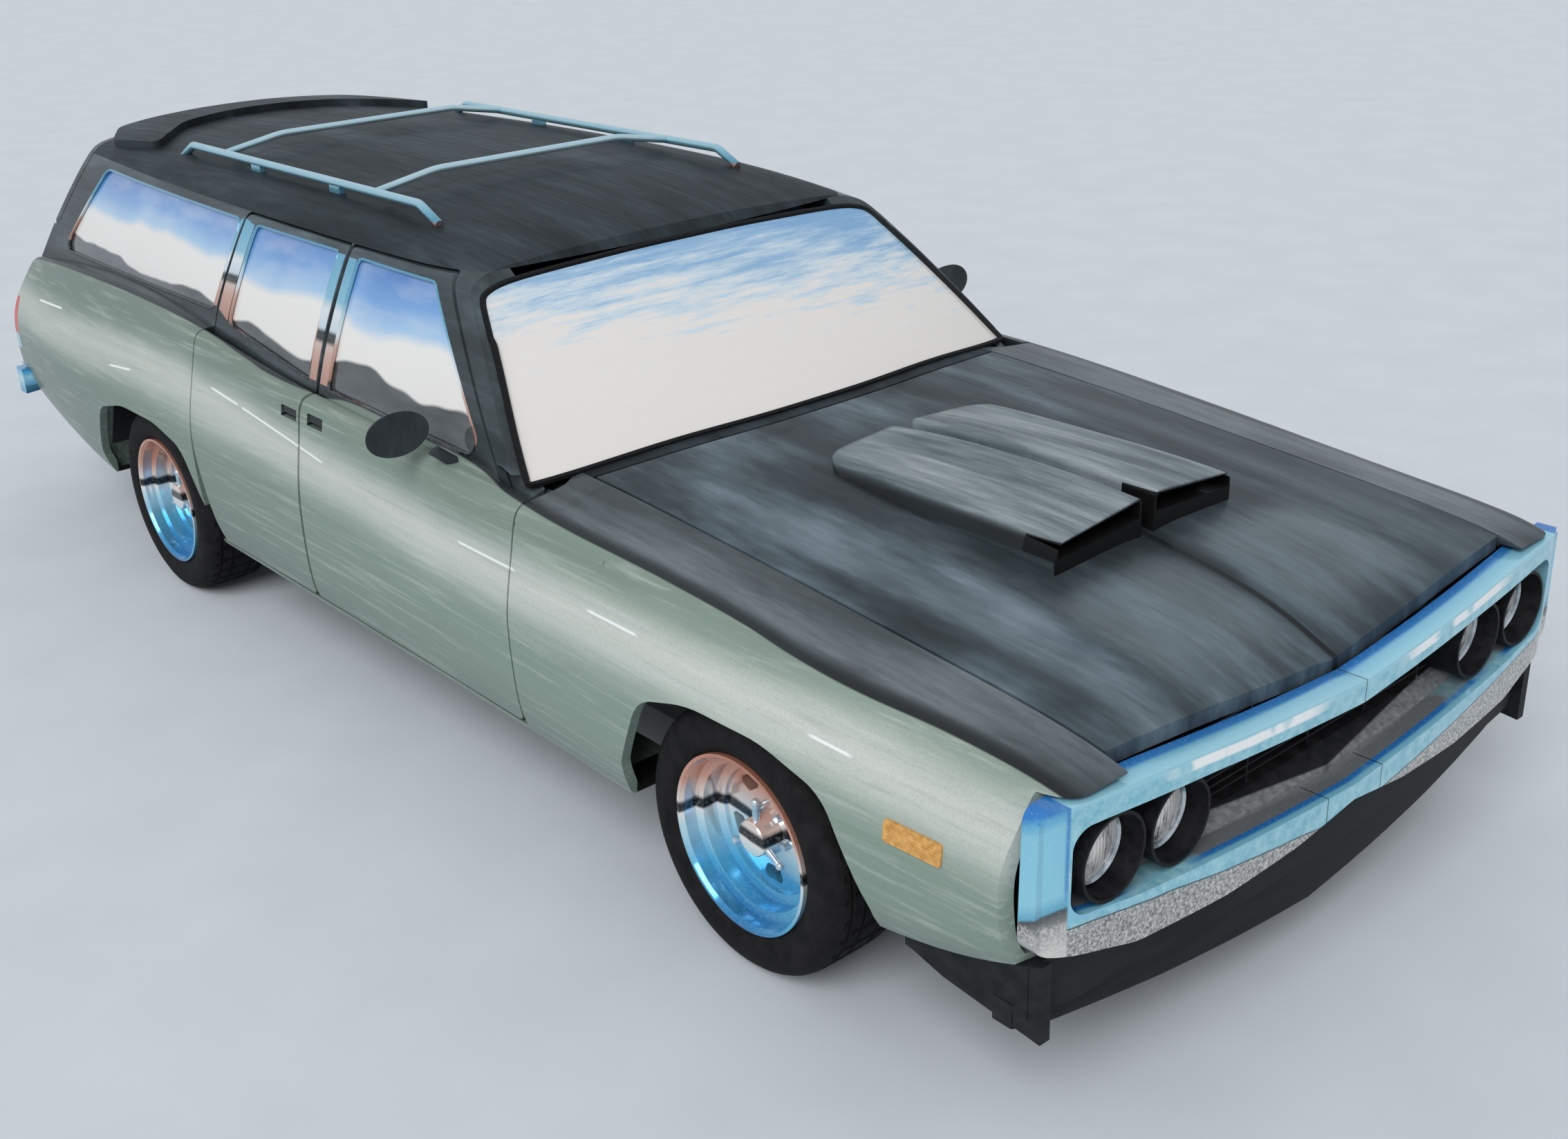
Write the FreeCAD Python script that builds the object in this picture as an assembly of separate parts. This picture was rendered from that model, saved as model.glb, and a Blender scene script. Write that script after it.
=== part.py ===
"""Early seventies full-size station wagon: lofted body, four doors, hood, tailgate, chassis and cabin.

Row frame in millimetres: +X to the front, +Y to the left, +Z up, origin on the floor under the middle
of the wagon. Every piece is one STEP file in parts/, named after its node.
"""

import FreeCAD
import Part
import math
import os

Vec = FreeCAD.Vector

# Driving dimensions of the whole vehicle
WHEELBASE = 2997.0
FRONT_AXLE_X = 1740.0
REAR_AXLE_X = FRONT_AXLE_X - WHEELBASE
NOSE_X = 2655.0
TAIL_X = -2655.0
TRACK_FRONT = 1654.0
TRACK_REAR = 1660.0

# Wheels and tyres
TYRE_R = 320.0
AXLE_Z = TYRE_R
RIM_R = 214.0
TYRE_W_FRONT = 225.0
TYRE_W_REAR = 235.0
HUB_BORE_R = 36.0
BOLT_CIRCLE = 114.3
BOLT_HOLE_R = 6.5
KINGPIN_INSET = 62.0

# Panels, doors and gaps
SKIN = 26.0
ROOF_T = 26.0
HOOD_T = 34.0
HOOD_CREASE = 14.0
FRAME_T = 24.0
FRAME_STEP = 7.0
PILLAR_T = 32.0
GLASS_INSET = 9.0
GLASS_T = 5.0
DOOR_INNER_Y = 878.0
DOOR_BOTTOM_Z = 312.0
DOOR_FRONT_X = 918.0
DOOR_MIDDLE_X = -158.0
DOOR_REAR_X = -846.0
DOOR_REAR_KICK = 62.0
PANEL_GAP = 7.0
DOOR_GAP = 12.0
FRAME_GAP = 15.0
FRAME_TOP_Z = 1312.0
HANDLE_DEPTH = 18.0
HINGE_OFFSET = 37.0
FRONT_HINGE_Y = 957.0
REAR_HINGE_Y = 972.0
HOOD_HINGE_X = 960.0
HOOD_HINGE_Z = 952.0
GATE_HINGE_X = -2604.0
GATE_HINGE_Y = 748.0
HOOD_EDGE_Y = 716.0
FLOOR_Z = 300.0
FLOOR_T = 22.0
CARGO_Z = 560.0
TUNNEL_Z = 392.0
CABIN_HALF_Y = 769.7
BUMPER_WING_X = -2470.0
BUMPER_TOP_Z = 522.0
BUMPER_LOW_Z = 418.0
POD_X = 2541.0
TAIL_PIPE_R = 30.0
TAIL_PIPE_L = 62.0
POD_Y = 896.0
POD_TOP_Z = 748.0
GATE_T = 42.0
GATE_HALF_Y = 742.0
GATE_BOTTOM_Z = 528.0
BELT_BASE_Z = 860.0

# Handle pockets, from back to front and from low to high
HANDLE_FRONT = (-104.0, -14.0, 856.0, 889.0)
HANDLE_REAR = (-262.0, -168.0, 850.0, 882.0)

APRON_X = (1290.0, 2440.0)

# Wheel openings: reach behind and ahead of the axle, and top height
ARCH_FRONT = (374.0, 428.0, 642.0)
ARCH_REAR = (452.0, 425.0, 640.0)

# Sections of the lower body from nose to tail: x, sill z, sill y, fullest y, shoulder y, shoulder z,
# hood edge z, hood half z and centre z
LOWER_STATIONS = [
    (2700, 478, 900, 930, 852, 728, 746, 736, 690),
    (2600, 440, 912, 941, 876, 772, 784, 776, 736),
    (2450, 376, 920, 950, 890, 790, 814, 826, 818),
    (2250, 332, 926, 960, 899, 803, 832, 850, 858),
    (2000, 306, 936, 980, 911, 820, 850, 874, 896),
    (1740, 290, 942, 992, 919, 842, 870, 896, 916),
    (1400, 290, 942, 982, 925, 868, 893, 920, 932),
    (1000, 290, 938, 969, 929, 896, 918, 946, 950),
    (500, 290, 936, 963, 929, 903, 926, 950, 955),
    (0, 290, 936, 963, 924, 910, 932, 950, 955),
    (-400, 290, 937, 968, 919, 928, 950, 965, 970),
    (-800, 290, 938, 980, 913, 972, 990, 1000, 1005),
    (-1232, 290, 940, 997, 904, 1000, 1015, 1025, 1028),
    (-1700, 292, 938, 992, 886, 1000, 1015, 1025, 1028),
    (-2100, 352, 925, 970, 864, 978, 992, 1000, 1003),
    (-2450, 425, 905, 938, 842, 940, 955, 962, 965),
    (-2720, 480, 880, 900, 812, 900, 915, 922, 925),
]

# Sections of the greenhouse: x, half width at the belt, half width at the roof edge, edge z,
# roof shoulder y, shoulder z and centre z
UPPER_STATIONS = [
    (1100, 886, 706, 1160, 600, 1172, 1180),
    (800, 885, 706, 1236, 602, 1254, 1266),
    (520, 883, 707, 1284, 606, 1312, 1330),
    (250, 881, 708, 1303, 610, 1352, 1378),
    (-100, 879, 707, 1311, 610, 1380, 1408),
    (-700, 873, 701, 1314, 604, 1389, 1421),
    (-1300, 863, 684, 1312, 592, 1387, 1420),
    (-1800, 849, 658, 1308, 574, 1380, 1413),
    (-2200, 833, 628, 1302, 554, 1366, 1398),
    (-2700, 810, 590, 1285, 528, 1338, 1366),
]
# Windshield: height, centre x and how far the glass sweeps back at the pillars
WINDSHIELD_CURVES = [(860, 1119, 178), (950, 992, 163), (1120, 752, 118), (1290, 512, 80), (1420, 328, 66)]
WINDSHIELD_REF_Y = 846.0

# Air deflector over the tailgate: plan, height over the roof, and gap over the tailgate
DEFLECTOR_PLAN = [
    (-2388, 0, 900), (-2372, 330, 400), (-2330, 470, 120), (-2120, 580, 60), (-1790, 548, 20), (-2080, 320, 200),
    (-2169, 0, 600), (-2080, -320, 200), (-1790, -548, 20), (-2120, -580, 60), (-2330, -470, 120), (-2372, -330, 400),
]
DEFLECTOR_T = 26.0
DEFLECTOR_GAP = 13.0

# Tail: height and centre x of the outer face, swept forward by TAIL_SWEEP at the corners
TAIL_CURVES = [
    (200, -2632), (400, -2632), (600, -2632), (760, -2621), (850, -2583), (935, -2508),
    (1020, -2462), (1200, -2388), (1385, -2310), (1480, -2268),
]
TAIL_SWEEP = 42.0

# Window holes seen from the side (x, z, corner radius)
WINDOW_FRONT = [(-92, 942, 14), (-92, 1288, 16), (306, 1286, 46), (724, 930, 30)]
WINDOW_REAR = [(-760, 1000, 30), (-734, 1288, 22), (-206, 1290, 16), (-206, 945, 14)]
WINDOW_QUARTER = [(-2236, 1000, 36), (-2052, 1290, 60), (-838, 1290, 30), (-880, 1022, 30)]

# Rear edge of the hood
HOOD_REAR_MID = 1052.0
HOOD_REAR_SWEEP = 84.0

# Scoops: sections of the top (x, height near the middle and at the outer side), plan outline and mouth
SCOOP_TOPS = [(2110, 970, 940), (1960, 980, 950), (1660, 984, 952), (1440, 974, 950), (1280, 956, 940)]
SCOOP_PLAN = [(2085, 20), (2085, 316, 12), (1316, 310, 120), (1316, 20, 24)]
SCOOP_BASE_Z = 852.0
SCOOP_MOUTH = [(2000, 30, 922, 966), (2100, 30, 922, 962)]
SCOOP_MOUTH_DROP = 26.0

# Front end: plan line of the chrome loop, and the heights of its bars
NOSE_MID_X = 2655.0
NOSE_SWEEP = 58.0
LOOP_OUT_Y = 942.0
LOOP_IN_Y = 868.0
LOOP_TOP_Z = 766.0

# Half outlines of the loop and of its opening, from the middle of the top to the middle of the bottom
LOOP_OUTER = [(0, 716, 60), (640, 757, 300), (934, 766, 30), (942, 466, 46), (690, 402, 200), (430, 392, 200),
              (200, 404, 160), (0, 432, 60)]
LOOP_HOLE = [(0, 664, 60), (500, 698, 300), (866, 714, 44), (868, 530, 44), (690, 508, 200), (0, 470, 120)]
LOOP_DEPTH = 70.0
LAMP_YZ = ((752.0, 611.0), (552.0, 599.0))
LAMP_R = 92.0
LAMP_LENS_R = 74.0
LAMP_MOUTH_X = 2612.0
LAMP_BACK_X = 2470.0
LENS_BALL_R = 190.0

# Front valance: lower edge from the middle out (y, z) and side wings (x, z)
VALANCE_LOW = [(0, 146), (250, 168), (505, 194), (830, 234), (912, 252)]
VALANCE_SIDE = [(2226, 300), (2250, 296, 20), (2330, 276, 40), (2580, 252), (2580, 470), (2226, 470)]

# Roof rack
RACK_RAIL_Y = 536.0
RACK_TOP_Z = 1418.0
RACK_RAIL_R = 13.0
RACK_BAR_FRONT_X = -290.0
RACK_BAR_REAR_X = -1280.0
RACK_BAR_R = 11.0
RACK_ARCH = 36.0

# Steering wheel, knuckles
STEER_X = 340.0
STEER_Y = 365.0
STEER_Z = 806.0
STEER_TILT = 12.3
KNUCKLE_Y = 772.0

# Wheel rims
SLOT_COUNT = 5
DISH = 100.0
HUB_CAP_R = 46.0
HUB_CAP_L = 62.0
BEAD_STEP = 10.0
FLANGE_W = 12.0

# Door mirrors
MIRROR_CENTRE = Vec(560, -990, 992)
MIRROR_SIZE = Vec(92, 96, 62)


def spline_surface(rows):
    """A bicubic clamped surface on a control net, rows running nose to tail."""
    nu, nv = len(rows), len(rows[0])

    def knots(n):
        inner = n - 4
        return [i / (inner + 1.0) for i in range(inner + 2)], [4] + [1] * inner + [4]

    ku, mu = knots(nu)
    kv, mv = knots(nv)
    surface = Part.BSplineSurface()
    surface.buildFromPolesMultsKnots(rows, mu, mv, ku, kv, False, False, 3, 3)
    return surface


def moved_in(points, depth):
    """The open polygon of a half section moved inwards by depth, the last point staying on the middle."""
    out = []
    last = len(points) - 1
    for i, (y, z) in enumerate(points):
        y0, z0 = points[max(i - 1, 0)]
        y1, z1 = points[min(i + 1, last)]
        ty, tz = y1 - y0, z1 - z0
        size = math.hypot(ty, tz)
        ny, nz = -tz / size, ty / size
        if i == last:
            ny, nz = 0.0, -1.0
        out.append((y + ny * depth, z + nz * depth))
    return out


def closed_loft(stations, half_section, depth=0.0):
    """Solid through symmetric sections given as half polygons (y, z) from the bottom edge to the middle."""
    rows = []
    for station in stations:
        half = half_section(station)
        if depth:
            half = moved_in(half, depth)
        right = [Vec(station[0], -y, z) for y, z in half]
        left = [Vec(station[0], y, z) for y, z in reversed(half[:-1])]
        rows.append(right + left)
    skin = spline_surface(rows).toShape()
    edges = skin.Edges
    first_x, last_x = stations[0][0], stations[-1][0]

    def at(x):
        return [e for e in edges if all(abs(v.X - x) < 1e-6 for v in e.Vertexes)][0]

    sills = [e for e in edges if abs(e.Vertexes[0].X - e.Vertexes[-1].X) > 1.0]
    bottom = Part.makeRuledSurface(sills[0], sills[1])
    caps = []
    for x in (first_x, last_x):
        arch = at(x)
        chord = Part.makeLine(arch.Vertexes[-1].Point, arch.Vertexes[0].Point)
        caps.append(Part.Face(Part.Wire([arch, chord])))
    shell = Part.makeShell([skin, bottom] + caps)
    shell.sewShape()
    solid = Part.makeSolid(Part.Shell(shell.Faces))
    if solid.Volume < 0:
        solid.reverse()
    return solid


def lower_half(row):
    """Half section of the lower body, from the sill round the shoulder to the middle of the deck."""
    _, sill_z, sill_y, full_y, edge_y, edge_z, gap_z, half_z, middle_z = row
    rise = edge_z - sill_z
    crease = HOOD_CREASE if row[0] >= 2000 else 0.0
    return [
        (sill_y, sill_z),
        (sill_y + 0.72 * (full_y - sill_y), sill_z + 0.09 * rise),
        (full_y, sill_z + 0.30 * rise),
        (full_y + 2, sill_z + 0.58 * rise),
        (edge_y + 0.42 * (full_y - edge_y), sill_z + 0.82 * rise),
        (edge_y + 12, sill_z + 0.93 * rise),
        (edge_y, edge_z - 6),
        (edge_y - 22, edge_z + 8),
        (edge_y - 80, edge_z + 0.45 * (gap_z - edge_z)),
        (edge_y - 200, gap_z),
        (0.50 * edge_y, half_z),
        (0.22 * edge_y, 0.3 * half_z + 0.7 * middle_z),
        (0.06 * edge_y, middle_z),
        (0, middle_z - crease),
    ]


def upper_half(row):
    """Half section of the greenhouse, from inside the belt over the roof edge to the middle of the roof."""
    _, belt_y, edge_y, edge_z, top_y, top_z, middle_z = row
    lean = belt_y - edge_y
    rise = edge_z - BELT_BASE_Z
    return [
        (belt_y + 8, BELT_BASE_Z),
        (belt_y - 0.16 * lean, BELT_BASE_Z + 0.30 * rise),
        (belt_y - 0.50 * lean, BELT_BASE_Z + 0.62 * rise),
        (belt_y - 0.86 * lean, BELT_BASE_Z + 0.90 * rise),
        (edge_y - 6, edge_z + 6),
        (0.6 * edge_y + 0.4 * top_y, 0.45 * edge_z + 0.55 * top_z),
        (top_y, top_z),
        (0.62 * top_y, top_z + 0.62 * (middle_z - top_z)),
        (0.26 * top_y, middle_z),
        (0, middle_z),
    ]


def mirrored(shape):
    return shape.mirror(Vec(0, 0, 0), Vec(0, 1, 0))


def outline(points, place):
    """Closed wire through (a, b) or (a, b, radius) corners; place turns (a, b) into a point."""
    n = len(points)
    starts, ends, arcs = [], [], []
    for i, point in enumerate(points):
        a, b = point[0], point[1]
        radius = point[2] if len(point) > 2 else 0.0
        here = Vec(a, b, 0)
        before = Vec(points[i - 1][0], points[i - 1][1], 0) - here
        after = Vec(points[(i + 1) % n][0], points[(i + 1) % n][1], 0) - here
        before.normalize()
        after.normalize()
        if radius <= 0:
            starts.append(here)
            ends.append(here)
            arcs.append(None)
            continue
        half = math.acos(max(-1, min(1, before.dot(after)))) / 2
        cut = radius / math.tan(half)
        middle = (before + after).normalize()
        reach = radius / math.sin(half) - radius
        starts.append(here + before * cut)
        ends.append(here + after * cut)
        arcs.append(here + middle * reach)
    edges = []
    for i in range(n):
        if arcs[i] is not None:
            three = [place(p.x, p.y) for p in (starts[i], arcs[i], ends[i])]
            edges.append(Part.Arc(*three).toShape())
        j = (i + 1) % n
        if (starts[j] - ends[i]).Length > 1e-6:
            edges.append(Part.makeLine(place(ends[i].x, ends[i].y), place(starts[j].x, starts[j].y)))
    return Part.Wire(edges)


def side_prism(points, y0, y1):
    """Prism of an XZ outline between two y values."""
    wire = outline(points, lambda a, b: Vec(a, y0, b))
    return Part.Face(wire).extrude(Vec(0, y1 - y0, 0))


def plan_prism(points, z0, z1):
    """Prism of an XY outline between two z values."""
    wire = outline(points, lambda a, b: Vec(a, b, z0))
    return Part.Face(wire).extrude(Vec(0, 0, z1 - z0))


def front_prism(points, x0, x1):
    """Prism of a YZ outline between two x values."""
    wire = outline(points, lambda a, b: Vec(x0, a, b))
    return Part.Face(wire).extrude(Vec(x1 - x0, 0, 0))


def box(x0, x1, y0, y1, z0, z1):
    return Part.makeBox(x1 - x0, y1 - y0, z1 - z0, Vec(x0, y0, z0))


def cylinder(radius, start, end):
    axis = end - start
    return Part.makeCylinder(radius, axis.Length, start, axis)


def curved_stack(curves, sweep_of, sign, reach):
    """Solid ahead of (sign 1) or behind (sign -1) a face given by plan curves at several heights."""
    rows = []
    for height, centre_x, sweep in curves:
        rows.append([Vec(centre_x - sign * sweep * (y / WINDSHIELD_REF_Y) ** 2 * sweep_of, y, height)
                     for y in (-1100, -700, -330, 0, 330, 700, 1100)])
    if sign < 0:
        face = spline_surface(rows).toShape()
    else:
        face_surface = Part.BSplineSurface()
        face_surface.interpolate(rows)
        face = face_surface.toShape()
    return face.extrude(Vec(sign * reach, 0, 0))


def biggest(shape):
    """The largest solid of a boolean result."""
    return max(shape.Solids, key=lambda s: s.Volume)


def both(shape):
    """The right-hand shape and its left-hand mirror image."""
    return [shape, mirrored(shape)]


def fused(*shapes):
    """Fuse of several shapes, with coplanar faces joined."""
    result = shapes[0]
    if len(shapes) > 1:
        result = result.multiFuse(list(shapes[1:]))
    return result.removeSplitter()


def right_half():
    return box(TAIL_X - 200, NOSE_X + 200, -1200, 0, -100, 1700)


def arch_outline(axle_x, back, ahead, top_z, grow=0.0):
    """Wheel opening seen from the side, flat topped with full corners."""
    back += grow
    ahead += grow
    top = top_z + grow
    return [
        (axle_x - back - 12, FLOOR_Z - 120),
        (axle_x - back, AXLE_Z + 70, 60),
        (axle_x - 0.74 * back, top - 50, 120),
        (axle_x - 0.28 * back, top, 400),
        (axle_x + 0.30 * ahead, top, 400),
        (axle_x + 0.74 * ahead, top - 46, 120),
        (axle_x + ahead, AXLE_Z + 60, 60),
        (axle_x + ahead + 26, FLOOR_Z - 120),
    ]


def build_body():
    """The lofted forms that every body panel is cut from."""
    forms = {}
    forms["lower"] = closed_loft(LOWER_STATIONS, lower_half)
    forms["lower_in"] = closed_loft(LOWER_STATIONS, lower_half, SKIN)
    forms["hood_in"] = closed_loft(LOWER_STATIONS, lower_half, HOOD_T)
    for name, depth in (("lower_pocket", HANDLE_DEPTH), ("lower_paddle", 4.0), ("lower_paddle_in", 10.0),
                        ("lower_mid", SKIN / 2)):
        forms[name] = closed_loft(LOWER_STATIONS, lower_half, depth)
    forms["upper"] = closed_loft(UPPER_STATIONS, upper_half)
    for name, depth in (("frame_in", FRAME_T), ("pillar_out", FRAME_T + FRAME_STEP),
                        ("pillar_in", FRAME_T + FRAME_STEP + PILLAR_T), ("roof_in", ROOF_T),
                        ("glass_out", GLASS_INSET), ("glass_in", GLASS_INSET + GLASS_T)):
        forms[name] = closed_loft(UPPER_STATIONS, upper_half, depth)
    forms["ahead"] = curved_stack(WINDSHIELD_CURVES, 1.0, 1, 900)
    forms["behind"] = curved_stack([(z, x, TAIL_SWEEP) for z, x in TAIL_CURVES], 1.0, -1, 900)
    return forms


def side_keep(x0, x1, y0, y1, z0, z1):
    """Box on the right-hand side, its y values given as distances from the middle."""
    return box(x0, x1, -y1, -y0, z0, z1)


def door_outline(front, grow=0.0):
    """Side view of a door below the belt: front True is the front door."""
    g = grow
    low = DOOR_BOTTOM_Z - g
    if front:
        return [
            (DOOR_FRONT_X + g, low, 30),
            (DOOR_FRONT_X + g, 610, 300),
            (DOOR_FRONT_X + 30 + g, 902 + g, 16),
            (790 + g, 934 + g),
            (DOOR_MIDDLE_X + DOOR_GAP / 2 + 8 - g, 960 + g),
            (DOOR_MIDDLE_X + DOOR_GAP / 2 + 8 - g, 900, 400),
            (DOOR_MIDDLE_X + DOOR_GAP / 2 - 22 - g, low, 20),
        ]
    return [
        (DOOR_MIDDLE_X - DOOR_GAP / 2 - 22 + g, low, 20),
        (DOOR_MIDDLE_X - DOOR_GAP / 2 + 8 + g, 900, 400),
        (DOOR_MIDDLE_X - DOOR_GAP / 2 + 8 + g, 960 + g),
        (DOOR_REAR_X - g, 1030 + g),
        (DOOR_REAR_X - g, 640, 500),
        (DOOR_REAR_X + DOOR_REAR_KICK - g, low, 12),
    ]


def frame_outline(front, grow=0.0):
    """Side view of a door's window frame, from below the belt to the roof edge."""
    g = grow
    if front:
        return [
            (846 + 1.3 * g, 868), (352 + 1.3 * g, FRAME_TOP_Z + g, 40),
            (DOOR_MIDDLE_X + FRAME_GAP / 2 + 8 - g, FRAME_TOP_Z + g, 12),
            (DOOR_MIDDLE_X + FRAME_GAP / 2 + 8 - g, 868),
        ]
    return [
        (DOOR_MIDDLE_X - FRAME_GAP / 2 + 8 + g, 868),
        (DOOR_MIDDLE_X - FRAME_GAP / 2 + 8 + g, FRAME_TOP_Z + g, 12),
        (DOOR_REAR_X + 36 - g, FRAME_TOP_Z + g, 30),
        (DOOR_REAR_X - g, 1040), (DOOR_REAR_X - g, 868),
    ]


def outer_side(points):
    return side_prism(points, -1150, 0)


def make_door(forms, front):
    """One right-hand door: lower panel, window frame and the window hole."""
    low = outer_side(door_outline(front)).common(side_keep(-1200, 1200, DOOR_INNER_Y, 1100, 250, 1100))
    low = biggest(forms["lower"].common(low))
    frame = outer_side(frame_outline(front)).common(forms["right_upper_frame"])
    frame = biggest(frame.cut(forms["ahead"]))
    window = outer_side(WINDOW_FRONT if front else WINDOW_REAR)
    pocket, paddle = handle_recess(forms, front)
    door = biggest(fused(low, frame).cut(window).cut(pocket).fuse(paddle).removeSplitter())
    glass = biggest(forms["right_glass"].common(window).cut(forms["lower"]))
    return door, glass


def handle_recess(forms, front):
    """Pocket behind the door handle, and the flush paddle that bridges its upper part."""
    x0, x1, z0, z1 = HANDLE_FRONT if front else HANDLE_REAR
    pocket = outer_side([(x0, z0, 8), (x0, z1, 8), (x1, z1, 8), (x1, z0, 8)]).cut(forms["lower_pocket"])
    paddle = box(x0 - 2, x1 + 2, -1100, 0, z0 + 11, z1 - 4).common(forms["lower_paddle"])
    return pocket, paddle.cut(forms["lower_paddle_in"])


def build_doors(forms):
    front, front_glass = make_door(forms, True)
    rear, rear_glass = make_door(forms, False)
    return front, front_glass, rear, rear_glass


def windshield_glass(forms):
    slab = forms["ahead"].translated(Vec(-8, 0, 0)).cut(forms["ahead"])
    return slab.common(forms["roof_in"])


def build_sides(forms):
    """Right-hand body side: sill, posts, quarter panel, pillars and the rail above the doors."""
    outer, upper = forms["lower"], forms["upper"]
    door_hole = [outer_side(door_outline(f, PANEL_GAP)) for f in (True, False)]
    frame_hole = [outer_side(frame_outline(f, PANEL_GAP)) for f in (True, False)]
    arch = outer_side(arch_outline(REAR_AXLE_X, *ARCH_REAR))

    # Sill and the posts behind the doors
    sill = outer.common(side_keep(DOOR_REAR_X - 60, 1360, 770, 1000, 240, DOOR_BOTTOM_Z - PANEL_GAP)).cut(arch)
    rocker = side_keep(-700, 1000, 770, DOOR_INNER_Y - PANEL_GAP, 300, 372)
    post_a = side_keep(866, DOOR_FRONT_X, 790, DOOR_INNER_Y - PANEL_GAP, 300, 1000).common(forms["lower_in"])
    post_b = side_keep(-215, -100, 806, DOOR_INNER_Y - PANEL_GAP, 300, BELT_BASE_Z + 3)

    # Quarter panel: a thick wall with the wheel opening and wheelhouse hollowed out
    wall = outer.common(side_keep(-2760, DOOR_REAR_X - PANEL_GAP, 812, 1100, 240, 1100))
    wall = wall.cut(forms["behind_gate"])
    wall = wall.cut(box(-2760, BUMPER_WING_X, -1100, 0, 200, BUMPER_TOP_Z))
    wall = wall.cut(side_keep(-2760, -2500, 0, GATE_HALF_Y + PANEL_GAP, 200, 960))
    wall = wall.cut(arch)
    house = outer_side(arch_outline(REAR_AXLE_X, *ARCH_REAR, grow=26)).common(forms["lower_in"])
    wall = wall.cut(tail_lamp_zone(forms, 1.0).cut(forms["lower_in"]))
    wall = biggest(wall.cut(house))

    # Greenhouse: pillars and rail
    shell = upper.cut(forms["pillar_in"]).common(right_half())
    shell = shell.common(box(-2760, 900, -1100, 0, 862, 1400))
    shell = shell.cut(forms["ahead"]).cut(forms["glass_slab"])
    corner = shell.common(box(-2760, -2000, -1100, -GATE_HALF_Y - PANEL_GAP, 800, 1500)).cut(forms["behind_gate"])
    shell = biggest(shell.cut(forms["behind_lid"]))
    if corner.Solids:
        shell = shell.fuse(biggest(corner))
    shell = shell.cut(box(-3000, 1200, -562, 0, 800, 1500))
    for hole in frame_hole:
        shell = shell.cut(hole.cut(forms["pillar_out"]))
    for low_hole in door_hole:
        shell = shell.cut(low_hole.cut(forms["pillar_out"]).common(box(-1000, 1200, -1100, 0, 200, 1046)))
    openings = [
        [(-76, 880), (-76, 1270, 20), (300, 1270, 40), (720, 880)],
        [(-800, 880), (-770, 1270, 20), (-222, 1270, 20), (-222, 880)],
    ]
    for points in openings:
        shell = shell.cut(outer_side(points))
    quarter_hole = outer_side(WINDOW_QUARTER)
    shell = shell.cut(quarter_hole)
    roof_zone = upper.common(box(-2760, 900, -1100, 0, FRAME_TOP_Z + PANEL_GAP, 1500)).cut(forms["roof_in"])
    shell = biggest(shell.cut(roof_zone))
    side = fused(sill, rocker, post_a, post_b, wall, shell)
    for low_hole in door_hole:
        side = side.cut(low_hole.common(side_keep(-1000, 1200, DOOR_INNER_Y - PANEL_GAP, 1100, 200, 960)))
    side = biggest(side)
    glass = forms["right_glass"].common(quarter_hole)
    glass = biggest(glass.cut(wall))
    return side, glass


def build_roof(forms):
    roof = forms["upper"].cut(forms["roof_in"])
    roof = roof.common(box(-2760, 900, -1100, 1100, FRAME_TOP_Z + PANEL_GAP, 1500))
    roof = biggest(roof.cut(forms["ahead"]).cut(forms["behind_lid"]))
    above = forms["upper"].translated(Vec(0, 0, DEFLECTOR_T))
    vane = plan_prism(DEFLECTOR_PLAN, 1300, 1500).common(above).cut(forms["upper"])
    vane = vane.cut(forms["upper"].translated(Vec(0, 0, DEFLECTOR_GAP)).cut(box(-2240, 1000, -900, 900, 1200, 1500)))
    roof = fused(roof, biggest(vane))
    bows = []
    for x in (-1450, -700, -20):
        bow = forms["roof_in"].common(box(x - 25, x + 25, -562, 562, 1250, 1500)).cut(forms["pillar_in"])
        bows.append(bow)
    return fused(roof, *bows)


def build_fender(forms):
    """Right-hand front fender: outer skin, wheel opening and the inner apron."""
    skin = forms["lower"].cut(forms["lower_in"])
    x_rear = DOOR_FRONT_X + PANEL_GAP
    zone = side_keep(x_rear, 2604, HOOD_EDGE_Y, 1100, 200, 1100)
    fender = skin.common(zone)
    fender = fender.cut(outer_side(door_outline(True, PANEL_GAP)))
    fender = fender.cut(outer_side(arch_outline(FRONT_AXLE_X, *ARCH_FRONT)))
    fender = fender.cut(side_keep(900, 1400, 700, 1100, 200, DOOR_BOTTOM_Z - PANEL_GAP))
    fender = fender.cut(nose_band(-60, LOOP_DEPTH + 3, 1000, 380, LOOP_TOP_Z + 4))
    fender = fender.cut(side_keep(POD_X, 2700, POD_Y, 1000, 400, POD_TOP_Z))
    fender = fender.cut(forms["windshield_zone"])
    apron = front_prism([(-560, 454), (-548, 454), (-548, 704), (-724, 728), (-724, 930), (-738, 930),
                         (-738, 717), (-560, 693)], *APRON_X)
    apron = apron.common(forms["lower_mid"])
    return biggest(fused(biggest(fender), biggest(apron)))


def build_hood(forms):
    """Hood with the two scoops lofted out of its surface."""
    rear = hood_rear_line(-PANEL_GAP / 2)
    zone = plan_region(rear, 2606, HOOD_EDGE_Y - PANEL_GAP, 600, 1300)
    hood = biggest(forms["lower"].cut(forms["hood_in"]).common(zone))
    scoops = [build_scoop(1), build_scoop(-1)]
    hood = fused(hood, *[s.cut(forms["hood_in"]) for s in scoops])
    for sign in (1, -1):
        hood = hood.cut(build_scoop(sign, True))
    hood = hood.cut(nose_band(-80, LOOP_DEPTH + PANEL_GAP, 1000, 380, 900))
    return biggest(hood)


def hood_rear_line(shift):
    """Plan points of the gap between hood and cowl."""
    return [(HOOD_REAR_MID - HOOD_REAR_SWEEP * (y / HOOD_EDGE_Y) ** 2 - shift, y)
            for y in (-800, -600, -400, -200, 0, 200, 400, 600, 800)]


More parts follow.
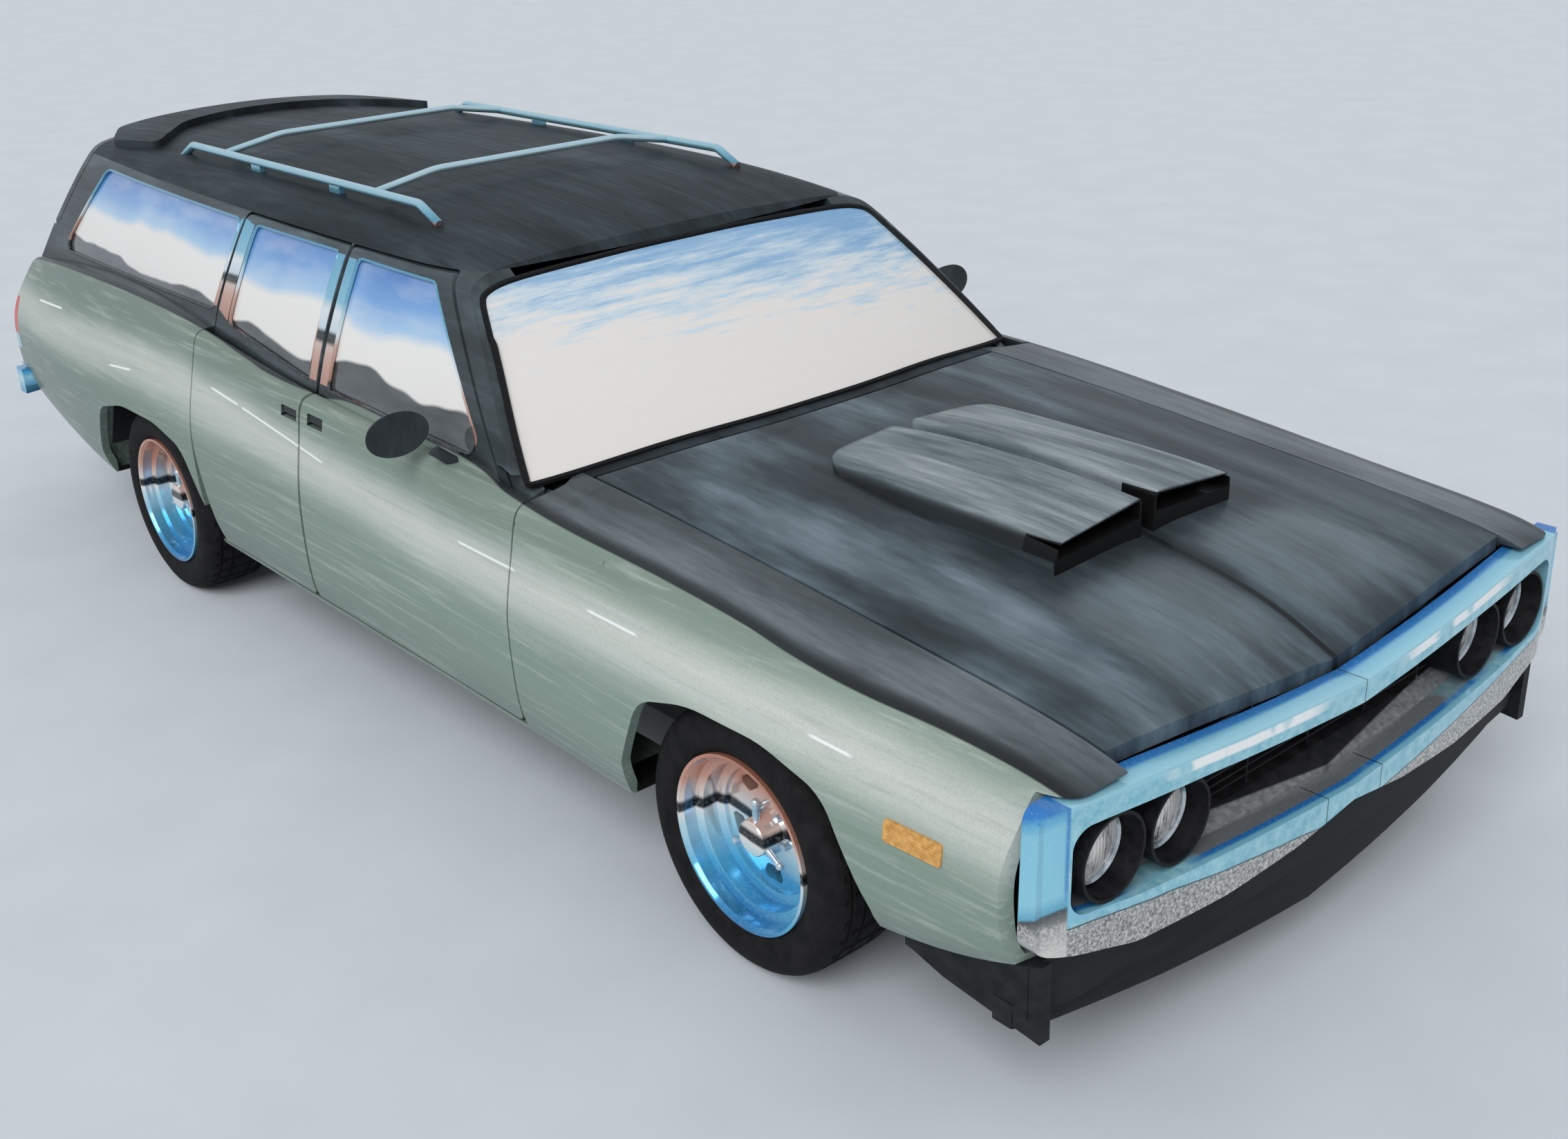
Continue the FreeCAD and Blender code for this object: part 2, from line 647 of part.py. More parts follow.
def plan_region(rear_points, x_front, half_y, z0, z1):
    """Prism ahead of a curved rear line, between plus and minus half_y."""
    curve = Part.BSplineCurve()
    curve.interpolate([Vec(x, y, z0) for x, y in rear_points])
    line = curve.toShape()
    a, b = rear_points[0], rear_points[-1]
    corners = [Vec(b[0], b[1], z0), Vec(x_front, b[1], z0), Vec(x_front, a[1], z0), Vec(a[0], a[1], z0)]
    sides = [Part.makeLine(corners[i], corners[i + 1]) for i in range(3)]
    solid = Part.Face(Part.Wire([line] + sides)).extrude(Vec(0, 0, z1 - z0))
    return solid.common(box(-3000, 3000, -half_y, half_y, z0, z1))


def build_scoop(sign, mouth=False):
    """One hood scoop, or the pocket of its mouth."""
    wires = []
    if mouth:
        for x, y, low, high in SCOOP_MOUTH:
            points = [(sign * y, low), (sign * y, high, 10), (sign * 304, high - SCOOP_MOUTH_DROP, 10),
                      (sign * 304, low - 16)]
            wires.append(outline(points, lambda a, b, x=x: Vec(x, a, b)))
        return Part.makeLoft(wires, True, False)
    for x, high, low in SCOOP_TOPS:
        points = [(sign * 20, SCOOP_BASE_Z), (sign * 24, high, 16), (sign * 302, low, 34), (sign * 324, SCOOP_BASE_Z)]
        wires.append(outline(points, lambda a, b, x=x: Vec(x, a, b)))
    plan = plan_prism([(p[0], sign * p[1]) + tuple(p[2:]) for p in SCOOP_PLAN], 800, 1050)
    return Part.makeLoft(wires, True, False).common(plan)


def build_cowl(forms):
    """Cowl top between hood and windshield, with the bulkhead below it."""
    ahead_line = hood_rear_line(PANEL_GAP / 2)
    full = box(700, 1400, -HOOD_EDGE_Y + 0.5, HOOD_EDGE_Y - 0.5, 600, 1300)
    front = plan_region(ahead_line, 1500, 900, 500, 1400)
    top = forms["lower"].cut(forms["lower_in"]).common(full).cut(front)
    top = biggest(top.cut(forms["behind_glass"]))
    wall = box(866, 886, -CABIN_HALF_Y, CABIN_HALF_Y, FLOOR_Z + FLOOR_T, 1000)
    wall = wall.common(forms["lower_in"]).cut(tunnel_form(0))
    return fused(top, wall)


def tunnel_form(inset):
    """Ridge over the gearbox and propeller shaft, inset for its inner side."""
    return front_prism([
        (-150 + inset, FLOOR_Z - 5), (-118 + inset, TUNNEL_Z - inset, 50), (118 - inset, TUNNEL_Z - inset, 50),
        (150 - inset, FLOOR_Z - 5),
    ], -760, 900)


def build_floor(forms):
    """Floor pan, tunnel, raised cargo floor and the rear wheelhouses."""
    half = CABIN_HALF_Y
    pan = box(-760, 866, -half, half, FLOOR_Z, FLOOR_Z + FLOOR_T)
    tunnel_outer = tunnel_form(0)
    tunnel_inner = tunnel_form(18).common(box(-742, 1000, -300, 300, 200, 600))
    riser = box(-782, -760, -half, half, FLOOR_Z, CARGO_Z)
    cargo = box(-2470, -760, -half, half, CARGO_Z - 22, CARGO_Z)
    skirt = box(-2470, -2448, -half, half, 420, CARGO_Z)
    body = fused(pan, tunnel_outer.common(box(-760, 900, -300, 300, FLOOR_Z, 900)), riser, cargo, skirt)
    body = body.cut(tunnel_inner)
    houses = []
    for sign in (-1, 1):
        y0, y1 = sorted((sign * 676, sign * 812))
        shape = side_prism(arch_outline(REAR_AXLE_X, *ARCH_REAR, grow=44), y0, y1)
        inner = side_prism(arch_outline(REAR_AXLE_X, *ARCH_REAR, grow=26), *sorted((sign * 694, sign * 830)))
        shape = shape.common(box(-2400, 0, -900, 900, 384, 900))
        houses.append((shape, inner))
    for shape, inner in houses:
        body = body.fuse(shape)
    for shape, inner in houses:
        body = body.cut(inner)
    return biggest(body.removeSplitter())


def nose_line(shift, half_y, count=9):
    """Plan points along the nose, shift behind the loop's front face."""
    points = []
    for i in range(count):
        y = -half_y + 2 * half_y * i / (count - 1)
        x = NOSE_MID_X - shift - NOSE_SWEEP * (abs(y) / LOOP_OUT_Y) ** 2.2
        if abs(y) > 880:
            x -= 26 * ((abs(y) - 880) / 62.0) ** 2
        points.append((x, y))
    return points


def nose_band(front_shift, back_shift, half_y, z0, z1):
    """Solid between two plan lines that follow the nose."""
    edges = []
    ends = []
    for shift in (front_shift, back_shift):
        curve = Part.BSplineCurve()
        points = nose_line(shift, half_y, 25)
        curve.interpolate([Vec(x, y, z0) for x, y in points])
        edges.append(curve.toShape())
        ends.append((points[0], points[-1]))
    caps = []
    for side in (0, 1):
        a, b = ends[0][side], ends[1][side]
        caps.append(Part.makeLine(Vec(a[0], a[1], z0), Vec(b[0], b[1], z0)))
    wire = Part.Wire(Part.__sortEdges__(edges + caps))
    return Part.Face(wire).extrude(Vec(0, 0, z1 - z0))


def loop_prism(half, x0, x1, grow=0.0):
    """Prism of a half outline and its mirror image, grown outwards by the gap."""
    top, bottom = half[0], half[-1]
    right = []
    for y, z, radius in half[1:-1]:
        right.append((y + grow, z + (grow if z > 600 else -grow), radius))
    left = [(-y, z, radius) for y, z, radius in reversed(right)]
    points = [(top[0], top[1] + grow, top[2])] + right + [(0, bottom[1] - grow, bottom[2])] + left
    return front_prism(points, x0, x1)


def build_loop():
    """Chrome loop round the grille, its ends wrapping on to the fenders."""
    band = nose_band(0, LOOP_DEPTH, LOOP_OUT_Y, 300, 900)
    ring = loop_prism(LOOP_OUTER, 2400, 2750)
    loop = band.common(ring).cut(loop_prism(LOOP_HOLE, 2300, 2800))
    for sign in (-1, 1):
        y0, y1 = sorted((sign * 900, sign * (LOOP_OUT_Y + 6)))
        pod = box(POD_X + 4, NOSE_MID_X - LOOP_DEPTH, y0, y1, 450, POD_TOP_Z - 4)
        loop = loop.fuse(pod.common(ring))
    loop = loop.cut(box(2000, POD_X + 4, -1100, 1100, 300, 900))
    return biggest(loop.removeSplitter())


def build_grille():
    """Black grille: back plate, fine blades and the sloping shelf below them."""
    span = LOOP_IN_Y - 2
    plate = box(LAMP_BACK_X, LAMP_BACK_X + 8, -span, span, 440, 716)
    shelf = side_prism([(LAMP_BACK_X, 440), (LAMP_BACK_X, 520), (2540, 512), (2588, 486), (2588, 440)],
                       -span, span)
    pieces = [plate, shelf]
    for i in range(9):
        z = 532 + i * 20.5
        pieces.append(box(LAMP_BACK_X, LAMP_BACK_X + 62, -span, span, z, z + 5))
    for y in (-440, -220, 0, 220, 440):
        pieces.append(box(LAMP_BACK_X, LAMP_BACK_X + 62, y - 3, y + 3, 500, 708))
    body = fused(*pieces)
    for y, z in LAMP_YZ:
        for sign in (-1, 1):
            body = body.cut(cylinder(LAMP_R, Vec(LAMP_BACK_X - 20, sign * y, z), Vec(2700, sign * y, z)))
    return biggest(body.cut(nose_band(-60, LOOP_DEPTH, LOOP_OUT_Y, 380, 800)))


def build_headlamps():
    """Four round lamps, each a lens at the bottom of a black tube."""
    lamps = []
    seat = LAMP_MOUTH_X - 62
    tube_form = Part.makeCylinder(LAMP_R, LAMP_MOUTH_X - LAMP_BACK_X, Vec(LAMP_BACK_X, 0, 0), Vec(1, 0, 0))
    recess = Part.makeCone(LAMP_LENS_R + 4, LAMP_R - 7, 62, Vec(seat, 0, 0), Vec(1, 0, 0))
    ball = Part.makeSphere(LENS_BALL_R, Vec(seat + 20 - LENS_BALL_R, 0, 0))
    lens = ball.common(Part.makeCylinder(LAMP_LENS_R, 60, Vec(seat - 4, 0, 0), Vec(1, 0, 0)))
    lamp = fused(tube_form.cut(recess), lens)
    for y, z in LAMP_YZ:
        lamps += both(lamp.translated(Vec(0, -y, z)))
    return lamps


def build_valance(forms):
    """Dark lower valance with the chin spoiler lip, its ends wrapping round below the fenders."""
    right = [(y, z) for y, z in VALANCE_LOW]
    left = [(-y, z) for y, z in reversed(right[1:])]
    under = front_prism(left + right + [(930, 460), (-930, 460)], 2200, 2750)
    face = nose_band(46, 76, 912, 296, 460)
    shelf = nose_band(46, 132, 912, 296, 308)
    lip = nose_band(84, 132, 912, 120, 308)
    wings = [side_prism(VALANCE_SIDE, *sorted((sign * 882, sign * 910))) for sign in (-1, 1)]
    valance = fused(face.common(under), shelf, lip.common(under), *wings)
    valance = valance.cut(nose_band(-60, LOOP_DEPTH + PANEL_GAP, 1000, 300, 900)
                          .common(loop_prism(LOOP_OUTER, 2300, 2800, PANEL_GAP)))
    return biggest(valance.cut(forms["lower"].translated(Vec(0, 0, -3))).cut(forms["lower"]))


def tail_lamp_zone(forms, gap=0.0):
    zone = side_keep(-2700, -2520 + gap, GATE_HALF_Y + 18 - gap, 1000, 596 - gap, 792 + gap)
    return zone.cut(forms["behind_gate"])


def build_signal_lamps(forms):
    """Side markers on the fenders and the tail lamps at the rear corners."""
    marker = side_prism([(2222, 566, 8), (2222, 614, 8), (2368, 614, 8), (2368, 566, 8)], -1000, -900)
    marker = marker.common(forms["lower"].translated(Vec(0, -5, 0))).cut(forms["lower"])
    tail = tail_lamp_zone(forms).common(forms["lower"])
    tail = biggest(tail.cut(forms["lower_in"]))
    return marker, tail


def build_rear_bumper(forms):
    """Chrome rear bumper, its ends flush with the quarters."""
    reach = 942.0
    points = [(TAIL_X + 66 * (abs(y) / reach) ** 4, y) for y in range(-942, 943, 157)]
    height = BUMPER_TOP_Z - PANEL_GAP - BUMPER_LOW_Z
    edges = []
    for shift in (0, 60):
        curve = Part.BSplineCurve()
        curve.interpolate([Vec(x + shift, y, BUMPER_LOW_Z) for x, y in points])
        edges.append(curve.toShape())
    for i in (0, -1):
        x, y = points[i]
        edges.append(Part.makeLine(Vec(x, y, BUMPER_LOW_Z), Vec(x + 60, y, BUMPER_LOW_Z)))
    bar = Part.Face(Part.Wire(Part.__sortEdges__(edges))).extrude(Vec(0, 0, height))
    wing = forms["lower_rear"].common(side_keep(-2640, BUMPER_WING_X - PANEL_GAP, 800, 1000, BUMPER_LOW_Z,
                                                BUMPER_TOP_Z - PANEL_GAP))
    return biggest(fused(bar, *both(biggest(wing))))


def tube(points, radius, bend):
    """Round bar along straight runs joined by arcs of one radius."""
    edges = []
    last = points[0]
    for i in range(1, len(points) - 1):
        here = points[i]
        u = (points[i - 1] - here).normalize()
        v = (points[i + 1] - here).normalize()
        half = math.acos(u.dot(v)) / 2
        cut = bend / math.tan(half)
        start, end = here + u * cut, here + v * cut
        middle = here + (u + v).normalize() * (bend / math.sin(half) - bend)
        edges.append(Part.makeLine(last, start))
        edges.append(Part.Arc(start, middle, end).toShape())
        last = end
    edges.append(Part.makeLine(last, points[-1]))
    path = Part.Wire(edges)
    first = (points[1] - points[0]).normalize()
    ring = Part.Wire([Part.makeCircle(radius, points[0], first)])
    return path.makePipeShell([ring], True, False)


def build_rack(forms):
    """Roof rack: two side rails on feet and two arched cross bars."""
    rails = []
    for sign in (-1, 1):
        y = sign * RACK_RAIL_Y
        path = [Vec(56, y, 1374), Vec(-40, y, RACK_TOP_Z), Vec(-1520, y, RACK_TOP_Z), Vec(-1610, y, 1376)]
        rails.append(tube(path, RACK_RAIL_R, 60))
        for x in (-520, -1040):
            rails.append(box(x - 30, x + 30, y - 10, y + 10, 1380, RACK_TOP_Z))
    bars = []
    for x in (RACK_BAR_FRONT_X, RACK_BAR_REAR_X):
        high = RACK_TOP_Z + RACK_ARCH
        path = [Vec(x, -RACK_RAIL_Y, RACK_TOP_Z), Vec(x, -330, high), Vec(x, 330, high),
                Vec(x, RACK_RAIL_Y, RACK_TOP_Z)]
        bars.append(tube(path, RACK_BAR_R, 300))
    rack = fused(*(rails + bars)).cut(forms["upper"])
    return [s for s in rack.Solids if s.BoundBox.ZMax > 1410]


def bench(x0, x1, half, z0, z1, back_x, back_z, lean):
    """Bench seat seen from the side: cushion and backrest in one profile."""
    points = [
        (x1, z0, 20), (x1, z1 - 20, 50), (x0 + 130, z1 - 36, 60), (back_x - lean + 60, back_z, 50),
        (back_x - lean - 70, back_z, 40), (x0, z0 + 60, 40), (x0, z0, 10),
    ]
    return side_prism(points, -half, half)


def build_seats():
    front = bench(-330, 288, 700, FLOOR_Z + FLOOR_T + 72, 590, -330, 1090, 120)
    for y in (-560, -200, 200, 560):
        front = front.fuse(box(-200, 240, y - 20, y + 20, FLOOR_Z + FLOOR_T, 420))
    rear = bench(-880, -330, 666, FLOOR_Z + FLOOR_T, 620, -760, 1080, 40)
    rear = rear.cut(box(-1000, -757, -700, 700, 200, CARGO_Z + 3))
    return front.removeSplitter(), biggest(rear.cut(tunnel_form(-0.3)))


def build_dashboard(forms):
    """Dashboard with its hood, instrument brow and the steering column."""
    points = [(560, 700, 20), (560, 880, 30), (600, 915, 30), (780, 905, 30), (864, 880, 5), (864, 690, 5)]
    dash = side_prism(points, -770, 770)
    brow = box(540, 640, 180, 560, 840, 945)
    dash = dash.fuse(brow)
    tilt = math.radians(STEER_TILT)
    down = Vec(math.cos(tilt), 0, -math.sin(tilt))
    centre = Vec(STEER_X, STEER_Y, STEER_Z)
    column = cylinder(26, centre + down * 18.5, centre + down * 522)
    return fused(dash, column)


def build_steering_wheel():
    """Steering wheel in its own plane, ahead of the driver, square to the column."""
    ring = Part.makeTorus(185, 13, Vec(0, 0, 0), Vec(0, 0, 1))
    hub = Part.makeCylinder(44, 30, Vec(0, 0, -18))
    spokes = [box(-180, 180, -14, 14, -10, 2), box(-14, 14, -180, 0, -10, 2)]
    wheel = fused(ring, hub, *spokes)
    wheel.rotate(Vec(0, 0, 0), Vec(0, 1, 0), -90 + STEER_TILT)
    return wheel.translated(Vec(STEER_X, STEER_Y, STEER_Z))


def build_frame():
    """Ladder frame: two side rails kicked up over the axles, and cross members."""
    members = []
    for sign in (-1, 1):
        y = sign * 520
        rail = side_prism([
            (2420, 360), (2420, 450, 60), (1240, 450, 120), (1120, 299.7, 120), (-850, 299.7, 60),
            (-930, 470, 90), (-1600, 470, 120), (-1760, 400, 120), (-2560, 400), (-2560, 320),
            (-1800, 320, 120), (-1640, 390, 120), (-1010, 390, 120), (-930, 206, 120), (1160, 206, 120),
            (1300, 360, 120),
        ], y - 36, y + 36)
        members.append(rail)
    for x0, x1, z0, z1 in ((2360, 2420, 366, 440), (620, 700, 262, 294), (-420, -340, 262, 294),
                           (-1900, -1830, 326, 386), (-2560, -2500, 326, 394)):
        members.append(box(x0, x1, -500, 500, z0, z1))
    return fused(*members)


def build_suspension():
    """Front crossmember with the lower and upper arms out to the knuckles."""
    axle = FRONT_AXLE_X
    member = box(axle - 60, axle + 60, -556, 556, 225, 305)
    uppers = []
    for sign in (-1, 1):
        y0, y1 = sorted((sign * 484, sign * 556))
        member = member.fuse(box(axle - 50, axle + 50, y0, y1, 300, 360))
        arm = plan_prism([(axle - 120, sign * 540), (axle - 26, sign * KNUCKLE_Y), (axle + 26, sign * KNUCKLE_Y),
                          (axle + 120, sign * 540)], 206, 226)
        member = member.fuse(arm)
        uppers.append(plan_prism([(axle - 70, sign * 556), (axle - 22, sign * KNUCKLE_Y),
                                  (axle + 22, sign * KNUCKLE_Y), (axle + 70, sign * 556)], 422, 440))
    return [biggest(member.removeSplitter())] + uppers


def build_knuckle():
    """Right-hand steering knuckle: upright between the two arms and the stub axle."""
    axle = FRONT_AXLE_X
    kingpin_y = -(TRACK_FRONT / 2 - KINGPIN_INSET)
    upright = box(axle - 24, axle + 24, kingpin_y - 20, kingpin_y + 24, 232, 416)
    pins = cylinder(12, Vec(axle, kingpin_y, 226.3), Vec(axle, kingpin_y, 421.7))
    plate = cylinder(88, Vec(axle, kingpin_y - 16, AXLE_Z), Vec(axle, kingpin_y - 24, AXLE_Z))
    stub = cylinder(HUB_BORE_R - 8, Vec(axle, kingpin_y, AXLE_Z), Vec(axle, -TRACK_FRONT / 2 - 58, AXLE_Z))
    return fused(upright, pins, plate, stub)


def build_rear_axle():
    """Live rear axle: tube, final drive housing, leaf springs and brake drums."""
    x = REAR_AXLE_X
    half = TRACK_REAR / 2 - 70
    axle = cylinder(40, Vec(x, -half, AXLE_Z), Vec(x, half, AXLE_Z))
    housing = cylinder(116, Vec(x - 70, 0, AXLE_Z), Vec(x + 70, 0, AXLE_Z))
    nose = Part.makeCone(96, 44, 150, Vec(x + 70, 0, AXLE_Z), Vec(1, 0, 0))
    axle = axle.multiFuse([housing, nose])
    for sign in (-1, 1):
        drum = cylinder(140, Vec(x, sign * (half - 30), AXLE_Z), Vec(x, sign * (half + 20), AXLE_Z))
        stub = cylinder(HUB_BORE_R - 8, Vec(x, sign * half, AXLE_Z), Vec(x, sign * (TRACK_REAR / 2 + 58), AXLE_Z))
        spring = side_prism([(x - 640, 376), (x, 256, 900), (x + 420, 330), (x + 420, 352),
                             (x, 280, 900), (x - 640, 398)], *sorted((sign * 590, sign * 650)))
        axle = axle.multiFuse([drum, stub, spring])
    return biggest(axle.removeSplitter())


def build_rim(width, face):
    """Slotted mag wheel about the Y axis, its outer face towards +Y at y = face."""
    lip = RIM_R
    back = face - width
    seat = lip - BEAD_STEP
    disc = face - DISH
    cap = disc + HUB_CAP_L
    profile = [
        (seat, back), (lip, back), (lip, back + FLANGE_W), (seat, back + FLANGE_W), (seat, back + 48),
        (lip - 26, back + 66), (lip - 26, face - 66), (seat, face - 48), (seat, face - FLANGE_W),
        (lip, face - FLANGE_W), (lip, face), (lip - 8, face),
        (lip - 15, face - 9), (lip - 17, face - 40), (lip - 38, face - 46), (lip - 40, face - 84),
        (lip - 61, face - 90), (lip - 64, disc), (HUB_CAP_R + 7, disc), (HUB_CAP_R, disc + 8),
        (HUB_CAP_R - 3, cap - 3), (HUB_CAP_R - 6, cap), (0, cap), (0, cap - 8), (HUB_BORE_R, cap - 8),
        (HUB_BORE_R, disc - 28), (138, disc - 28), (lip - 42, disc - 12), (lip - 40, back + 60),
        (seat - 10, back + 40),
    ]
    wire = Part.makePolygon([Vec(r, y, 0) for r, y in profile] + [Vec(profile[0][0], profile[0][1], 0)])
    rim = Part.Face(wire).revolve(Vec(0, 0, 0), Vec(0, 1, 0), 360)
    slots = []
    for i in range(SLOT_COUNT):
        slot = []
        for r, a in ((98, 12), (138, 15), (138, -15), (98, -12)):
            slot.append((r * math.cos(math.radians(a)), r * math.sin(math.radians(a)), 12))
        wire = outline(slot, lambda a, b: Vec(a, disc - 60, b))
        solid = Part.Face(wire).extrude(Vec(0, 90, 0))
        solid.rotate(Vec(0, 0, 0), Vec(0, 1, 0), 360.0 / SLOT_COUNT * i + 18)
        slots.append(solid)
    for i in range(5):
        a = math.radians(72 * i + 54)
        r = BOLT_CIRCLE / 2
        slots.append(cylinder(BOLT_HOLE_R, Vec(r * math.cos(a), disc - 60, r * math.sin(a)),
                              Vec(r * math.cos(a), disc + 20, r * math.sin(a))))
    rim = rim.cut(Part.makeCompound(slots))
    return biggest(rim)


def build_tyre(width, face):
    """Tyre with rounded shoulders about the Y axis, seated in the rim's bead."""
    back = face - width
    y0, y1 = back + FLANGE_W, face - FLANGE_W
    seat = RIM_R - BEAD_STEP
    points = [
        (seat, y0), (RIM_R, y0), (TYRE_R - 52, y0 - 16), (TYRE_R, y0 + 16),
        (TYRE_R, y1 - 16), (TYRE_R - 52, y1 + 16), (RIM_R, y1), (seat, y1), (seat, y0),
    ]
    wire = Part.makePolygon([Vec(r, y, 0) for r, y in points])
    return Part.Face(wire).revolve(Vec(0, 0, 0), Vec(0, 1, 0), 360)


def place_wheel(shape, axle_x, side):
    """Put a wheel made about Y with its face at y = face onto the right (-1) or left (1) side."""
    placed = shape if side > 0 else mirrored(shape)
    return placed.translated(Vec(axle_x, 0, AXLE_Z))


def build_mirror(forms):
    """Right-hand door mirror: half an oval shell, open to the rear, on a stalk from the door."""
    ball = Part.makeSphere(1.0).common(box(-0.36, 2, -2, 2, -2, 2))
    matrix = FreeCAD.Matrix()
    matrix.scale(MIRROR_SIZE.x, MIRROR_SIZE.y, MIRROR_SIZE.z)
    shell = ball.transformGeometry(matrix).translated(MIRROR_CENTRE)
    stalk = cylinder(15, Vec(600, -870, 900), Vec(578, -962, 978)).cut(forms["lower"]).cut(forms["upper"])
    return biggest(fused(shell, biggest(stalk)))


def build_gate(forms):
    """Tailgate: lower panel, window frame above the belt, and its glass."""
    out = forms["behind_shift"](0)
    inside = forms["behind_shift"](GATE_T)
    low = box(-2760, -2000, -GATE_HALF_Y, GATE_HALF_Y, GATE_BOTTOM_Z, 945)
    low = low.common(inside).cut(out)
    high = forms["upper"].common(box(-2760, -2000, -GATE_HALF_Y, GATE_HALF_Y, 940, 1500))
    high = high.common(inside).cut(out)
    hole = side_frame_hole()
    gate = fused(biggest(low), biggest(high)).cut(hole)
    glass = hole.common(forms["behind_shift"](14)).cut(forms["behind_shift"](9))
    return biggest(gate), biggest(glass)


def side_frame_hole():
    points = [(-700, 978, 50), (-548, 1338, 60), (548, 1338, 60), (700, 978, 50)]
    return front_prism(points, -2800, -2000)


def write(name, shape):
    if isinstance(shape, (list, tuple)):
        shape = Part.makeCompound([s for item in shape for s in item.Solids])
    solids = shape.Solids
    result = solids[0] if len(solids) == 1 else Part.makeCompound(solids)
    bad = [i for i, s in enumerate(solids) if not s.isValid() or s.Volume <= 0]
    print("%-22s solids %d faces %d%s" % (name, len(solids), len(result.Faces), " BAD %s" % bad if bad else ""))
    result.exportStep("parts/%s.step" % name)


def build_exhaust():
    path = [Vec(900, -250, 228), Vec(-800, -250, 228), Vec(-1010, -300, 470), Vec(-1500, -300, 470),
            Vec(-1760, -400, 290), Vec(-2630, -400, 290)]
    pipe = tube(path, 24, 110)
    muffler = cylinder(50, Vec(-300, -250, 228), Vec(300, -250, 228))
    tip = cylinder(TAIL_PIPE_R, Vec(-2630 + TAIL_PIPE_L, -400, 290), Vec(-2630, -400, 290))
    return fused(pipe, muffler, tip)


def main():
    os.makedirs("parts", exist_ok=True)
    forms = build_body()
    forms["right_upper_frame"] = forms["upper"].cut(forms["frame_in"]).common(right_half())
    forms["right_glass"] = forms["glass_out"].cut(forms["glass_in"]).common(right_half())
    forms["behind_shift"] = lambda shift: forms["behind"].translated(Vec(shift, 0, 0))
    forms["behind_gate"] = forms["behind"]
    forms["lower_rear"] = forms["lower"].common(box(-2760, -2300, -1100, 1100, 200, 1100))
    forms["behind_lid"] = forms["behind_shift"](GATE_T + 6)
    forms["glass_slab"] = windshield_glass(forms)
    aft = box(-3000, 1300, -1200, 1200, 850, 1500)
    forms["behind_glass"] = aft.cut(forms["ahead"].translated(Vec(-60, 0, 0)))
    forms["windshield_zone"] = aft.cut(forms["ahead"].translated(Vec(-8, 0, 0)))

    door, door_glass, rear_door, rear_glass = build_doors(forms)
    for name, shape in (("front_door", door), ("front_door_glass", door_glass),
                        ("rear_door", rear_door), ("rear_door_glass", rear_glass)):
        write(name + "_right", shape)
        write(name + "_left", mirrored(shape))

    side, quarter_glass = build_sides(forms)
    write("body_sides", both(side))
    windshield = biggest(forms["glass_slab"].cut(forms["lower"]).common(forms["upper"]))
    write("fixed_glass", [windshield] + both(quarter_glass))
    write("roof_panel", build_roof(forms))
    write("front_fenders", both(build_fender(forms)))
    write("hood", build_hood(forms))
    write("cowl_and_firewall", build_cowl(forms))
    write("floor_pan", build_floor(forms))
    write("front_loop_bumper", build_loop())
    write("grille", build_grille())
    write("headlamps", build_headlamps())
    write("front_valance", build_valance(forms))
    marker, tail = build_signal_lamps(forms)
    write("signal_lamps", both(marker) + both(tail))
    write("rear_bumper", build_rear_bumper(forms))
    write("roof_rack", build_rack(forms))
    write("bench_seats", list(build_seats()))
    write("dashboard", build_dashboard(forms))
    write("steering_wheel", build_steering_wheel())
    write("chassis_frame", build_frame())
    write("front_suspension", build_suspension())
    knuckle = build_knuckle()
    write("knuckle_right", knuckle)
    write("knuckle_left", mirrored(knuckle))
    write("rear_axle", build_rear_axle())
    write("engine_block", box(1020, 1640, -240, 240, 330, 800))
    write("fuel_tank", box(-2420, -1940, -420, 420, 410, 530))
    write("exhaust", build_exhaust())
    mirror = build_mirror(forms)
    write("mirror_right", mirror)
    write("mirror_left", mirrored(mirror))
    gate, gate_glass = build_gate(forms)
    write("tailgate", gate)
    write("tailgate_glass", gate_glass)
    for end, axle_x, track, width in (("front", FRONT_AXLE_X, TRACK_FRONT, TYRE_W_FRONT),
                                      ("rear", REAR_AXLE_X, TRACK_REAR, TYRE_W_REAR)):
        face = (track + width) / 2
        rim, tyre = build_rim(width, face), build_tyre(width, face)
        for word, side_sign in (("right", -1), ("left", 1)):
            write("rim_%s_%s" % (end, word), place_wheel(rim, axle_x, side_sign))
            write("tyre_%s_%s" % (end, word), place_wheel(tyre, axle_x, side_sign))


main()
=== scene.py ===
"""Dresses the early seventies station wagon: finishes, bright trim, wheels, cabin, floor, light and camera.

Row frame in metres: +X to the front, +Y to the wagon's left, +Z up, the tyres standing on z = 0.
"""

import math

import bmesh
import bpy
from mathutils import Matrix, Vector


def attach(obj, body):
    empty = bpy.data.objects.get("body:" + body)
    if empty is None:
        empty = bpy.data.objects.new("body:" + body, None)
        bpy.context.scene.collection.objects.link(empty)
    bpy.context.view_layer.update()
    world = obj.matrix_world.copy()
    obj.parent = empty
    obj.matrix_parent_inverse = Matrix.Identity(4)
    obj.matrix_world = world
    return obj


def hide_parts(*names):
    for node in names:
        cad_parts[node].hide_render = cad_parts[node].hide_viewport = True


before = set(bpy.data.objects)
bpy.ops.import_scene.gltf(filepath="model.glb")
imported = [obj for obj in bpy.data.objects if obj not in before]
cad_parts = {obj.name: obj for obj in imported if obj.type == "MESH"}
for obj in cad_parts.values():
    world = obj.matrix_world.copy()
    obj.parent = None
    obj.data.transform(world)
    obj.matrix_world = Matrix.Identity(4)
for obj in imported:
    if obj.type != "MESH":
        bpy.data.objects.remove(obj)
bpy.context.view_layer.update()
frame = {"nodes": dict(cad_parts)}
nodes = frame["nodes"]

# Both sides, with the sign of y
SIDES = (("right", -1), ("left", 1))
